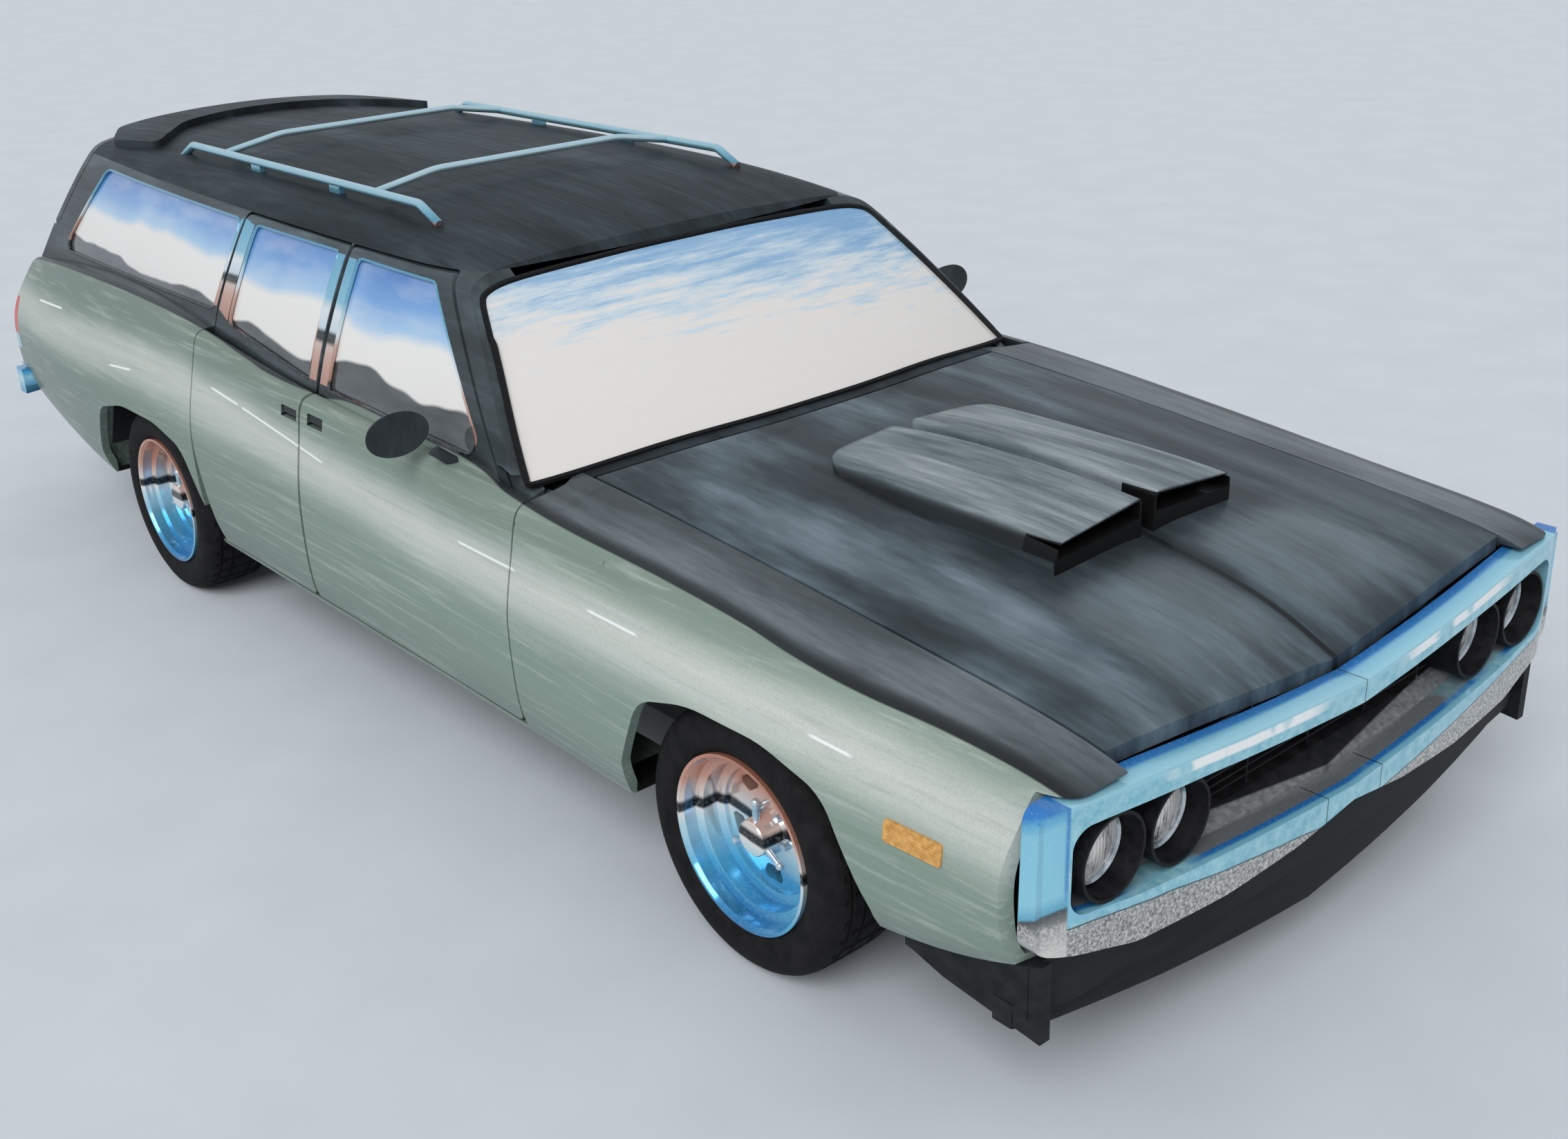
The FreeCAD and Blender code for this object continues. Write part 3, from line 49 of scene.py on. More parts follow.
# Sizes taken from the part: axles, how deep the wheels' discs sit, and the lamps' places (y, z)
FRONT_AXLE = Vector((1.740, 0, 0.320))
REAR_AXLE = Vector((-1.257, 0, 0.320))
DISH = 0.100
LAMP_PLACES = [(side * y, z) for side in (-1, 1) for y, z in ((0.752, 0.611), (0.552, 0.599))]


# Finishes
def tone(red, green, blue):
    """A colour written as on screen, 0 to 255, turned into light."""
    def light(v):
        v /= 255.0
        return v / 12.92 if v <= 0.04045 else ((v + 0.055) / 1.055) ** 2.4
    return (light(red), light(green), light(blue), 1.0)


class Finish:
    """A procedural material that reads the piece's own coordinates."""

    def __init__(self, name, rough=0.5, metal=0.0, coat=0.0, gloss=0.3):
        self.material = bpy.data.materials.new(name)
        self.material.use_nodes = True
        self.nodes = self.material.node_tree.nodes
        self.links = self.material.node_tree.links
        self.shader = self.nodes["Principled BSDF"]
        self.set("Roughness", rough)
        self.set("Metallic", metal)
        self.set("Coat Weight", coat)
        self.set("Coat Roughness", 0.06)
        self.set("Specular IOR Level", gloss)
        self.place = self.nodes.new("ShaderNodeTexCoord").outputs["Object"]
        split = self.nodes.new("ShaderNodeSeparateXYZ")
        self.links.new(self.place, split.inputs[0])
        self.x, self.y, self.z = split.outputs
        self.out = self.maths("ABSOLUTE", self.y)

    def set(self, socket, value):
        """Set a shader socket to a number or colour, or join a node's output to it."""
        self.feed(self.shader.inputs[socket], value)

    def feed(self, socket, value):
        """Give a node's socket a number or colour, or another node's output."""
        if isinstance(value, bpy.types.NodeSocket):
            self.links.new(value, socket)
        else:
            socket.default_value = value

    def maths(self, operation, a, b=0.0, c=0.0):
        """One step of arithmetic on numbers or outputs."""
        node = self.nodes.new("ShaderNodeMath")
        node.operation = operation
        for socket, value in zip(node.inputs, (a, b, c)):
            self.feed(socket, value)
        return node.outputs[0]

    def plus(self, a, b):
        """The sum of two values."""
        return self.maths("ADD", a, b)

    def minus(self, a, b):
        """One value less another."""
        return self.maths("SUBTRACT", a, b)

    def noise(self, scale, stretch=(1, 1, 1), detail=3.0, rough=0.5):
        """Soft mottling, finer as the scale grows, drawn out along the axes with the smaller stretch."""
        mapping = self.nodes.new("ShaderNodeMapping")
        mapping.inputs["Scale"].default_value = stretch
        self.links.new(self.place, mapping.inputs["Vector"])
        node = self.nodes.new("ShaderNodeTexNoise")
        self.links.new(mapping.outputs[0], node.inputs["Vector"])
        node.inputs["Scale"].default_value = scale
        node.inputs["Detail"].default_value = detail
        node.inputs["Roughness"].default_value = rough
        return node.outputs["Fac"]

    def ramp(self, value, stops):
        """Colours at places from nought to one, given as (place, red, green, blue)."""
        node = self.nodes.new("ShaderNodeValToRGB")
        self.feed(node.inputs[0], value)
        elements = node.color_ramp.elements
        elements.remove(elements[1])
        elements[0].position = stops[0][0]
        elements[0].color = tone(*stops[0][1:])
        for at, *colour in stops[1:]:
            elements.new(at).color = tone(*colour)
        return node.outputs["Color"]

    def bands(self, value, stops):
        """Colours at stated values of a measure, in metres."""
        low, high = stops[0][0], stops[-1][0]
        scaled = [((at - low) / (high - low), *colour) for at, *colour in stops]
        return self.ramp(self.spread(value, low, high), scaled)

    def spread(self, value, low, high, to_low=0.0, to_high=1.0, smooth=False):
        """A measure spread from one pair of limits to another."""
        node = self.nodes.new("ShaderNodeMapRange")
        node.interpolation_type = "SMOOTHSTEP" if smooth else "LINEAR"
        self.feed(node.inputs["Value"], value)
        for socket, number in zip(("From Min", "From Max", "To Min", "To Max"), (low, high, to_low, to_high)):
            self.feed(node.inputs[socket], number)
        return node.outputs["Result"]

    def fall(self, value, low, high):
        """One below the first limit, nought above the second."""
        return self.spread(value, low, high, 1.0, 0.0)

    def within(self, value, low, high, soft):
        """One between two values and nought outside them, with soft edges."""
        rise = self.spread(value, low - soft, low + soft, smooth=True)
        fall = self.spread(value, high - soft, high + soft, 1.0, 0.0, smooth=True)
        return self.all_of(rise, fall)

    def all_of(self, *masks):
        """Masks or values multiplied together."""
        whole = masks[0]
        for mask in masks[1:]:
            whole = self.maths("MULTIPLY", whole, mask)
        return whole

    def along(self, points, low, high):
        """A value that changes along the wagon, given as (x, value)."""
        node = self.nodes.new("ShaderNodeFloatCurve")
        first, last = points[0][0], points[-1][0]
        self.links.new(self.spread(self.x, first, last), node.inputs["Value"])
        line = node.mapping.curves[0].points
        while len(line) < len(points):
            line.new(0.5, 0.5)
        for point, (x, value) in zip(line, points):
            point.location = ((x - first) / (last - first), (value - low) / (high - low))
            point.handle_type = "AUTO_CLAMPED"
        node.mapping.update()
        return self.spread(node.outputs[0], 0.0, 1.0, low, high)

    def mix(self, amount, a, b):
        """Colour a turned towards colour b by an amount."""
        node = self.nodes.new("ShaderNodeMix")
        node.data_type = "RGBA"
        self.feed(node.inputs["Factor"], amount)
        self.feed(node.inputs[6], a)
        self.feed(node.inputs[7], b)
        return node.outputs[2]

    def wash(self, colour, shade, *masks):
        """A colour turned towards a shade where all the masks let it."""
        return self.mix(self.all_of(*masks), colour, tone(*shade))

    def bump(self, height, strength, distance):
        """Fine relief of the surface."""
        node = self.nodes.new("ShaderNodeBump")
        node.inputs["Strength"].default_value = strength
        node.inputs["Distance"].default_value = distance
        self.feed(node.inputs["Height"], height)
        self.links.new(node.outputs[0], self.shader.inputs["Normal"])

    def orange_peel(self):
        """The fine waviness of sprayed paint."""
        self.bump(self.noise(420.0, detail=1.0), 0.04, 0.0006)


# Points (x, y, z) on the line between charcoal and green, from tail to nose
PAINT_LINE = [
    (-2.700, 0.833, 0.940), (-2.386, 0.833, 0.945), (-1.695, 0.877, 0.993), (-1.260, 0.885, 0.998),
    (-0.898, 0.882, 0.983), (-0.548, 0.891, 0.951), (-0.335, 0.895, 0.933), (-0.136, 0.878, 0.925),
    (0.097, 0.866, 0.937), (0.443, 0.870, 0.928), (0.605, 0.871, 0.927), (0.896, 0.905, 0.901),
    (1.163, 0.914, 0.885), (1.454, 0.904, 0.868), (1.724, 0.899, 0.847), (1.933, 0.903, 0.825),
    (2.049, 0.900, 0.815), (2.356, 0.876, 0.799), (2.700, 0.866, 0.756),
]
# Middle of the pale band of painted highlight on the sides, and how far painted shade darkens the green, as
# (x, value)
HIGHLIGHT_BAND_LINE = [
    (-2.7, 0.780), (-2.0, 0.785), (-1.1, 0.820), (-0.7, 0.780), (-0.3, 0.760), (0.2, 0.738), (0.7, 0.716),
    (1.7, 0.722), (2.4, 0.695), (2.7, 0.690),
]
SAGE_SHADE = [(-2.7, 0.85), (-2.0, 0.80), (-1.1, 0.55), (-0.3, 0.36), (0.7, 0.10), (1.7, 0.0), (2.7, 0.06)]
# Wheel wells: reach behind and ahead of the axle, top, and how far out the dark goes
WELL_BEHIND, WELL_AHEAD, WELL_TOP, WELL_OUT = 0.47, 0.45, 0.670, 0.929
# Short bright strokes of light along the sides: x and z of each end
GLINTS = [
    (0.700, 0.741, 0.952, 0.741), (1.259, 0.736, 1.439, 0.735), (2.000, 0.702, 2.111, 0.697),
    (-0.511, 0.817, -0.022, 0.769), (-0.713, 0.835, -0.540, 0.820), (-2.252, 0.831, -1.995, 0.848),
    (-1.468, 0.759, -1.299, 0.776),
]
# Door handle pockets, painted near black as their shade: x from and to, z from and to
HANDLES = [(-0.104, -0.014, 0.856, 0.889), (-0.262, -0.168, 0.850, 0.882)]


def paint_finish():
    """Two-tone body paint: sage green below the line, with a pale band of painted highlight and painted
    shade, charcoal above it.
    """
    f = Finish("sage_and_charcoal_paint", rough=0.36, coat=0.22, gloss=0.15)
    reach = f.all_of(f.maths("MAXIMUM", f.out, 0.83), 0.8)
    level = f.minus(f.all_of(f.z, 0.6), reach)
    line = [(x, 0.8 * y - 0.6 * z) for x, y, z in PAINT_LINE]
    over = f.plus(level, f.along(line, 0.05, 0.30))

    wave = f.noise(1.7, (0.8, 1.0, 2.4), 3.0)
    from_highlight = f.minus(f.z, f.along(HIGHLIGHT_BAND_LINE, 0.6, 0.9))
    from_highlight = f.plus(from_highlight, f.spread(wave, 0.25, 0.75, -0.022, 0.022))
    # The green in bands about the painted highlight: pale in its middle, darker above and below it as painted
    # shade
    sage = f.bands(from_highlight, [
        (-0.42, 112, 129, 120), (-0.28, 126, 144, 135), (-0.15, 128, 147, 137), (-0.10, 148, 162, 154),
        (-0.055, 180, 188, 182), (0.00, 194, 198, 193), (0.045, 176, 184, 178), (0.085, 138, 153, 144),
        (0.12, 120, 137, 127), (0.26, 116, 132, 123),
    ])
    # Painted shade: the green darker away from the highlight band, deepest towards the tail
    off_highlight = f.spread(f.maths("ABSOLUTE", f.plus(from_highlight, 0.015)), 0.06, 0.14, 0.35, 1.0)
    sage = f.wash(sage, (98, 114, 105), f.along(SAGE_SHADE, 0.0, 1.0), off_highlight)
    streak = f.noise(9.0, (0.30, 5.0, 8.0), 5.0, 0.62)
    grain = f.noise(230.0, detail=2.0)
    sage = f.wash(sage, (205, 212, 207), f.spread(streak, 0.52, 0.80, 0.0, 0.42))
    sage = f.wash(sage, (108, 124, 116), f.spread(streak, 0.46, 0.25, 0.0, 0.30))
    sage = f.wash(sage, (102, 119, 111), f.spread(grain, 0.45, 0.8, 0.0, 0.25))

    for x0, z0, x1, z1 in GLINTS:
        slope = (z1 - z0) / (x1 - x0)
        drop = f.minus(f.z, f.maths("MULTIPLY_ADD", f.x, slope, z0 - slope * x0))
        glint = f.all_of(f.within(f.x, x0, x1, 0.012), f.within(drop, -0.0032, 0.0032, 0.0016))
        sage = f.wash(sage, (236, 240, 240), glint, 0.85)

    sweep = f.noise(3.2, (0.45, 2.4, 2.4), 4.0, 0.62)
    brush = f.noise(16.0, (0.3, 4.5, 4.5), 5.0, 0.65)
    charcoal = f.ramp(sweep, [
        (0.30, 40, 45, 48), (0.48, 56, 64, 68), (0.60, 72, 83, 89), (0.74, 92, 105, 112),
    ])
    # Painted highlight: a pale streak along the fender's shoulder, just above the line
    shoulder_highlight = f.all_of(f.within(over, 0.036, 0.070, 0.014), f.spread(f.x, 0.85, 1.3),
                     f.spread(sweep, 0.3, 0.55))
    charcoal = f.wash(charcoal, (126, 134, 141), shoulder_highlight, 0.5)
    charcoal = f.wash(charcoal, (48, 53, 56), f.spread(brush, 0.42, 0.8, 0.0, 0.5))
    # Painted shade: a dark band of charcoal right above the line
    charcoal = f.wash(charcoal, (30, 33, 35), f.spread(over, 0.016, 0.034, 0.88, 0.0))
    colour = f.mix(f.spread(over, -0.002, 0.002), sage, charcoal)
    # Painted shade: the handle pockets near black
    for x0, x1, z0, z1 in HANDLES:
        pull = f.all_of(f.within(f.x, x0, x1, 0.0008), f.within(f.z, z0, z1, 0.0008),
                        f.spread(f.out, 0.86, 0.861))
        colour = f.wash(colour, (26, 27, 29), pull)
    for axle in (FRONT_AXLE, REAR_AXLE):
        well = f.all_of(f.within(f.x, axle.x - WELL_BEHIND, axle.x + WELL_AHEAD, 0.002),
                        f.fall(f.z, WELL_TOP - 0.002, WELL_TOP + 0.002),
                        f.fall(f.out, WELL_OUT - 0.001, WELL_OUT + 0.001))
        colour = f.wash(colour, (26, 26, 28), well)
    f.set("Base Color", colour)
    f.set("Roughness", f.spread(streak, 0.3, 0.8, 0.30, 0.42))
    f.orange_peel()
    return f.material


def charcoal_finish(name, dark, middle, pale, light):
    """Charcoal paint, brushed along the wagon."""
    f = Finish(name, rough=0.46, coat=0.03, gloss=0.06)
    sweep = f.noise(2.3, (0.5, 2.2, 1.0), 4.0, 0.62)
    brush = f.noise(13.0, (0.28, 4.5, 2.0), 5.0, 0.68)
    colour = f.ramp(sweep, [(0.30, *dark), (0.46, *middle), (0.60, *pale), (0.74, *light)])
    colour = f.wash(colour, dark, f.spread(brush, 0.40, 0.78, 0.0, 0.55))
    f.set("Base Color", colour)
    f.set("Roughness", f.spread(brush, 0.3, 0.8, 0.40, 0.54))
    f.orange_peel()
    return f.material


def hood_finish():
    """Charcoal hood with painted highlights and shade: pale scoop tops, black mouths, a dark line of painted
    shade down the middle crease.
    """
    f = Finish("hood_paint", rough=0.40, coat=0.10, gloss=0.12)
    sweep = f.noise(2.6, (0.55, 2.0, 1.0), 4.0, 0.6)
    brush = f.noise(13.0, (0.26, 4.2, 2.0), 5.0, 0.68)
    colour = f.ramp(sweep, [
        (0.34, 34, 39, 42), (0.46, 52, 62, 68), (0.56, 78, 92, 101), (0.68, 112, 127, 137),
    ])
    # Painted shade over the far half of the hood and between the scoops, painted highlights ahead of the
    # scoops and along the hood's sides
    far = f.all_of(f.spread(f.y, 0.10, 0.55, smooth=True), f.spread(f.x, 1.30, 1.60))
    colour = f.wash(colour, (34, 40, 44), far, 0.55)
    ahead = f.all_of(f.within(f.x, 2.16, 2.50, 0.09), f.within(f.out, 0.05, 0.42, 0.05))
    colour = f.wash(colour, (108, 120, 127), ahead, 0.55)
    edge = f.all_of(f.spread(f.x, 1.2, 1.5), f.within(f.out, 0.52, 0.60, 0.05))
    colour = f.wash(colour, (98, 111, 119), edge, 0.45)
    near = f.all_of(f.within(f.x, 1.24, 2.16, 0.06), f.within(f.out, -1.0, 0.40, 0.05))
    colour = f.wash(colour, (38, 43, 46), near, 0.6)
    # Painted shade: a dark line down the middle crease
    crease = f.plus(f.spread(f.out, 0.007, 0.012, 0.6, 0.0), f.spread(f.out, 0.012, 0.042, 0.36, 0.0))
    colour = f.wash(colour, (20, 23, 25), crease, f.spread(f.x, 2.02, 2.10))
    pod = f.all_of(f.spread(f.x, 1.31, 1.33), f.fall(f.x, 2.086, 2.088))
    # Painted highlight: the scoop tops pale
    top = f.all_of(pod, f.spread(f.z, 0.930, 0.946), f.fall(f.out, 0.300, 0.320))
    pale = f.ramp(f.noise(5.0, (0.35, 3.5, 1.0), 4.0, 0.65), [
        (0.34, 76, 87, 93), (0.50, 112, 125, 131), (0.66, 148, 157, 161),
    ])
    colour = f.mix(top, colour, pale)
    # Painted shade on the scoops' side walls
    flank_shade = f.all_of(pod, f.spread(f.out, 0.296, 0.306), f.fall(f.out, 0.328, 0.334),
                     f.spread(f.z, 0.900, 0.904))
    colour = f.wash(colour, (34, 37, 39), flank_shade, 0.75)
    colour = f.wash(colour, (44, 50, 53), f.spread(brush, 0.44, 0.8, 0.0, 0.42))
    lip = f.minus(f.plus(f.z, f.all_of(f.out, 0.1)), 0.970)
    mouth = f.all_of(f.spread(f.x, 1.990, 1.992), f.fall(f.x, 2.0865, 2.0870),
                     f.fall(lip, -0.001, 0.001), f.fall(f.out, 0.312, 0.313),
                     f.spread(f.out, 0.020, 0.021), f.spread(f.z, 0.86, 0.87))
    colour = f.wash(colour, (20, 20, 21), mouth)
    f.set("Base Color", colour)
    f.set("Roughness", f.spread(brush, 0.3, 0.8, 0.30, 0.44))
    f.orange_peel()
    return f.material


def painted_sky_reflection(f, low, high, hills):
    """A painted reflection: sky-blue above a soft edge, pale below it, and a dark band of land at the bottom.
    """
    ridge = f.noise(2.1, (1.0, 1.0, 0.1), 2.0)
    drift = f.noise(7.0, (0.6, 0.6, 2.2), 4.0)
    height = f.spread(f.z, low, high)
    sky_height = f.plus(height, f.spread(ridge, 0.25, 0.75, -0.10, 0.10))
    sky = f.ramp(sky_height, [
        (0.0, 224, 222, 219), (0.54, 226, 225, 222), (0.62, 160, 194, 226),
        (0.80, 108, 156, 212), (1.0, 74, 124, 190),
    ])
    sky = f.wash(sky, (222, 226, 230), f.spread(drift, 0.45, 0.75, 0.0, 0.30))
    land_height = f.plus(height, f.spread(ridge, 0.25, 0.75, 0.11, -0.11))
    land = f.ramp(drift, [(0.35, 44, 48, 51), (0.7, 86, 92, 96)])
    return f.mix(f.spread(land_height, hills - 0.012, hills + 0.012), land, sky)


def door_glass_finish():
    """Windows of the doors and the tailgate, coloured with a painted reflection of sky and land."""
    f = Finish("side_window_glass", rough=0.05, coat=1.0)
    f.set("Base Color", painted_sky_reflection(f, 0.93, 1.285, 0.25))
    f.set("Alpha", 0.93)
    return f.material


def fixed_glass_finish():
    """Windshield, pale with faint blue strokes of painted sky reflection at the top, and the quarter windows
    behind the doors with the painted reflection of sky and land.
    """
    f = Finish("fixed_glass_painted_sky", rough=0.05, coat=1.0)
    strokes = f.noise(9.0, (3.0, 0.35, 5.0), 5.0, 0.7)
    lean = f.plus(f.spread(f.z, 0.90, 1.35), f.spread(f.y, -0.8, 0.8, -0.16, 0.16))
    depth = f.plus(lean, f.spread(strokes, 0.3, 0.7, -0.22, 0.22))
    # Painted sky reflection on the windshield, blue towards the top
    windshield = f.ramp(depth, [
        (0.0, 222, 219, 216), (0.52, 224, 222, 220), (0.66, 196, 213, 226),
        (0.84, 148, 184, 216), (1.0, 118, 164, 208),
    ])
    colour = f.mix(f.spread(f.x, 0.1, 0.2), painted_sky_reflection(f, 0.99, 1.285, 0.22), windshield)
    f.set("Base Color", colour)
    f.set("Alpha", 0.93)
    return f.material


def chrome_finish(name, low, high, stops, wavy=0.12, metal=0.55):
    """Bright plating coloured with painted reflections of sky and ground in bands, by height."""
    f = Finish(name, rough=0.10, metal=metal, coat=0.4)
    wave = f.noise(5.0, (1.0, 1.0, 0.5), 3.0)
    height = f.plus(f.spread(f.z, low, high), f.spread(wave, 0.2, 0.8, -wavy, wavy))
    colour = f.ramp(height, stops)
    f.set("Base Color", f.mix(f.spread(f.noise(160.0), 0.5, 0.8, 0.0, 0.2), colour, tone(228, 236, 240)))
    f.set("Roughness", f.spread(f.noise(60.0), 0.3, 0.7, 0.09, 0.18))
    return f.material


def loop_finish():
    """Front loop chrome in painted reflections: blue rear edges, pale blue faces, a white painted highlight
    streak, a grey speckled lower lip and teardrop ends.
    """
    f = Finish("front_loop_chrome", rough=0.16, metal=0.2, coat=0.4)
    rise = f.minus(f.z, f.all_of(f.out, 0.060))
    wave = f.noise(6.0)
    speck = f.noise(150.0, rough=0.7)
    rise = f.plus(rise, f.spread(wave, 0.25, 0.75, -0.0025, 0.0025))
    sweep = f.all_of(f.maths("POWER", f.out, 2.2), 0.0662)
    depth = f.minus(2.655, f.plus(f.x, sweep))
    # Blue and pale blue bands of painted sky reflection
    pale = f.ramp(f.noise(34.0, detail=4.0, rough=0.7), [(0.36, 118, 184, 206), (0.62, 160, 210, 224)])
    back_edge = f.bands(depth, [
        (0.004, 150, 206, 224), (0.040, 126, 188, 216), (0.050, 52, 130, 200),
        (0.074, 36, 108, 184),
    ])
    # Painted highlight: a white streak along the top bar
    streak = f.all_of(f.within(rise, 0.690, 0.712, 0.003), f.within(f.out, 0.16, 0.60, 0.06),
                      f.fall(depth, 0.012, 0.016),
                      f.spread(f.noise(11.0, detail=2.0), 0.36, 0.46))
    on_top = f.spread(rise, 0.7035, 0.7060)
    top_bar = f.mix(streak, f.mix(on_top, pale, back_edge), tone(244, 247, 248))
    low_edge = f.bands(depth, [
        (0.004, 134, 196, 220), (0.012, 120, 186, 216), (0.017, 46, 122, 194),
        (0.027, 40, 112, 186), (0.030, 112, 116, 119), (0.074, 126, 129, 131),
    ])
    on_shelf = f.spread(rise, 0.4660, 0.4685)
    low_bar = f.mix(on_shelf, pale, low_edge)
    grey = f.ramp(speck, [(0.36, 104, 107, 108), (0.50, 160, 161, 161), (0.62, 204, 203, 201)])
    fall = f.minus(rise, f.spread(f.out, 0.12, 0.85, 0.408, 0.456))
    low_bar = f.mix(f.fall(fall, -0.003, 0.001), low_bar, grey)
    low_bar = f.wash(low_bar, (58, 70, 78), f.within(fall, -0.0016, 0.0016, 0.001))
    face = f.mix(f.spread(f.z, 0.585, 0.590), low_bar, top_bar)
    seam = f.maths("MAXIMUM", f.all_of(f.within(f.out, -0.0015, 0.0015, 0.0004), f.spread(f.z, 0.60, 0.601)),
                   f.all_of(f.within(f.out, 0.100, 0.103, 0.0004), f.fall(f.z, 0.60, 0.601)))
    face = f.wash(face, (30, 34, 38), seam)
    # Teardrop ends coloured with painted reflections of sky and ground
    tear = f.bands(f.plus(f.z, f.spread(f.x, 2.54, 2.60, 0.0, -0.030)), [
        (0.44, 196, 195, 192), (0.50, 126, 128, 127), (0.524, 70, 76, 80),
        (0.530, 96, 166, 196), (0.56, 138, 200, 222), (0.70, 132, 196, 220),
        (0.725, 90, 166, 208), (0.738, 44, 122, 194), (0.77, 34, 106, 180),
    ])
    inner_edge = f.all_of(f.spread(f.out, 0.884, 0.878), f.spread(f.z, 0.56, 0.60))
    tear = f.wash(tear, (48, 124, 194), inner_edge, 0.8)
    # Painted reflection: pale speckles low on the teardrop ends
    speckled_reflection = f.all_of(f.spread(f.z, 0.53, 0.52), f.spread(speck, 0.40, 0.60, 0.0, 0.7))
    tear = f.wash(tear, (210, 209, 206), speckled_reflection)
    colour = f.mix(f.spread(f.out, 0.871, 0.875), face, tear)
    f.set("Base Color", f.mix(f.spread(speck, 0.55, 0.8, 0.0, 0.25), colour, tone(214, 232, 238)))
    f.set("Roughness", f.spread(speck, 0.3, 0.7, 0.14, 0.26))
    return f.material


def grille_finish():
    """Black grille over an argent grey shelf that narrows towards the middle."""
    f = Finish("grille_black", rough=0.6, gloss=0.12)
    mottle = f.noise(30.0, detail=4.0)
    black = f.ramp(mottle, [(0.35, 28, 27, 29), (0.68, 44, 42, 44)])
    grey = f.ramp(f.noise(60.0, (0.6, 1, 2), 4.0, 0.65), [(0.34, 104, 107, 109), (0.66, 140, 143, 145)])
    ahead = f.plus(f.x, f.all_of(f.out, 0.12))
    shelf = f.all_of(f.fall(f.z, 0.5215, 0.5225), f.spread(ahead, 2.583, 2.587))
    f.set("Base Color", f.mix(shelf, black, grey))
    f.set("Roughness", f.spread(mottle, 0.3, 0.7, 0.42, 0.56))
    f.bump(f.noise(180.0), 0.08, 0.001)
    return f.material


def plain_finish(name, light, dark, rough, metal=0.0, scale=40.0, stretch=(1, 1, 1), bumps=0.15, gloss=0.3):
    """A worn, mottled finish between two tones, with a fine grain."""
    f = Finish(name, rough=rough, metal=metal, gloss=gloss)
    mottle = f.noise(scale, stretch, 5.0, 0.6)
    f.set("Base Color", f.ramp(mottle, [(0.35, *dark), (0.68, *light)]))
    f.set("Roughness", f.spread(mottle, 0.3, 0.7, max(rough - 0.06, 0.02), rough + 0.08))
    f.bump(f.noise(scale * 6, stretch, 3.0), bumps, 0.001)
    return f.material


def signal_finish():
    """Ribbed lamp plastic: amber on the fenders, red at the tail with a pale lower third."""
    f = Finish("signal_lens", rough=0.20, coat=0.25, gloss=0.2)
    mottle = f.noise(90.0, detail=4.0)
    amber = f.ramp(mottle, [(0.35, 186, 132, 66), (0.68, 214, 168, 98)])
    red = f.ramp(mottle, [(0.35, 176, 34, 30), (0.68, 206, 52, 44)])
    pale = f.ramp(mottle, [(0.35, 96, 160, 196), (0.68, 176, 208, 222)])
    tail = f.mix(f.spread(f.z, 0.652, 0.656), pale, red)
    f.set("Base Color", f.mix(f.spread(f.x, 0.0, 0.1), tail, amber))
    f.bump(f.maths("SINE", f.all_of(f.z, 900.0)), 0.25, 0.001)
    return f.material


def lens_finish():
    """Fluted lamp glass over a bright reflector, pale with grey scribbled ribs."""
    f = Finish("headlamp_lens", rough=0.08, metal=0.1, coat=1.0)
    ribs = f.maths("SINE", f.all_of(f.y, 620.0))
    rings = f.noise(36.0, (0.2, 1.6, 0.7), 4.0, 0.65)
    f.set("Base Color", f.ramp(rings, [(0.38, 104, 104, 106), (0.46, 196, 195, 194),
                                       (0.56, 226, 223, 221)]))
    f.bump(ribs, 0.35, 0.0012)
    return f.material


# Painted reflections in the plating, in bands by height from nought to one: (place, red, green, blue)
POST_REFLECTIONS = [
    (0.00, 186, 138, 122), (0.20, 206, 164, 148), (0.30, 214, 190, 180), (0.335, 44, 46, 50),
    (0.39, 52, 56, 60), (0.42, 210, 226, 234), (0.56, 232, 238, 240), (0.64, 138, 196, 220),
    (1.00, 104, 168, 200),
]
BEAD_REFLECTIONS = [
    (0.00, 34, 36, 38), (0.10, 34, 36, 38), (0.13, 176, 128, 112), (0.36, 206, 170, 156),
    (0.44, 228, 234, 238), (0.58, 200, 222, 232), (0.68, 120, 182, 208), (1.00, 92, 156, 190),
]
RIM_REFLECTIONS = [
    (0.00, 38, 122, 182), (0.22, 92, 182, 220), (0.42, 196, 226, 236), (0.485, 240, 240, 238),
    (0.50, 30, 30, 34), (0.545, 34, 34, 38), (0.57, 236, 226, 220), (0.72, 214, 158, 136),
    (1.00, 190, 124, 102),
]
BAR_REFLECTIONS = [
    (0.00, 58, 140, 196), (0.25, 120, 190, 220), (0.55, 196, 226, 236), (0.75, 120, 196, 228),
    (1.00, 44, 120, 180),
]
RACK_REFLECTIONS = [
    (0.00, 120, 96, 92), (0.20, 186, 140, 126), (0.32, 92, 150, 174), (0.60, 122, 182, 204),
    (1.00, 186, 216, 226),
]

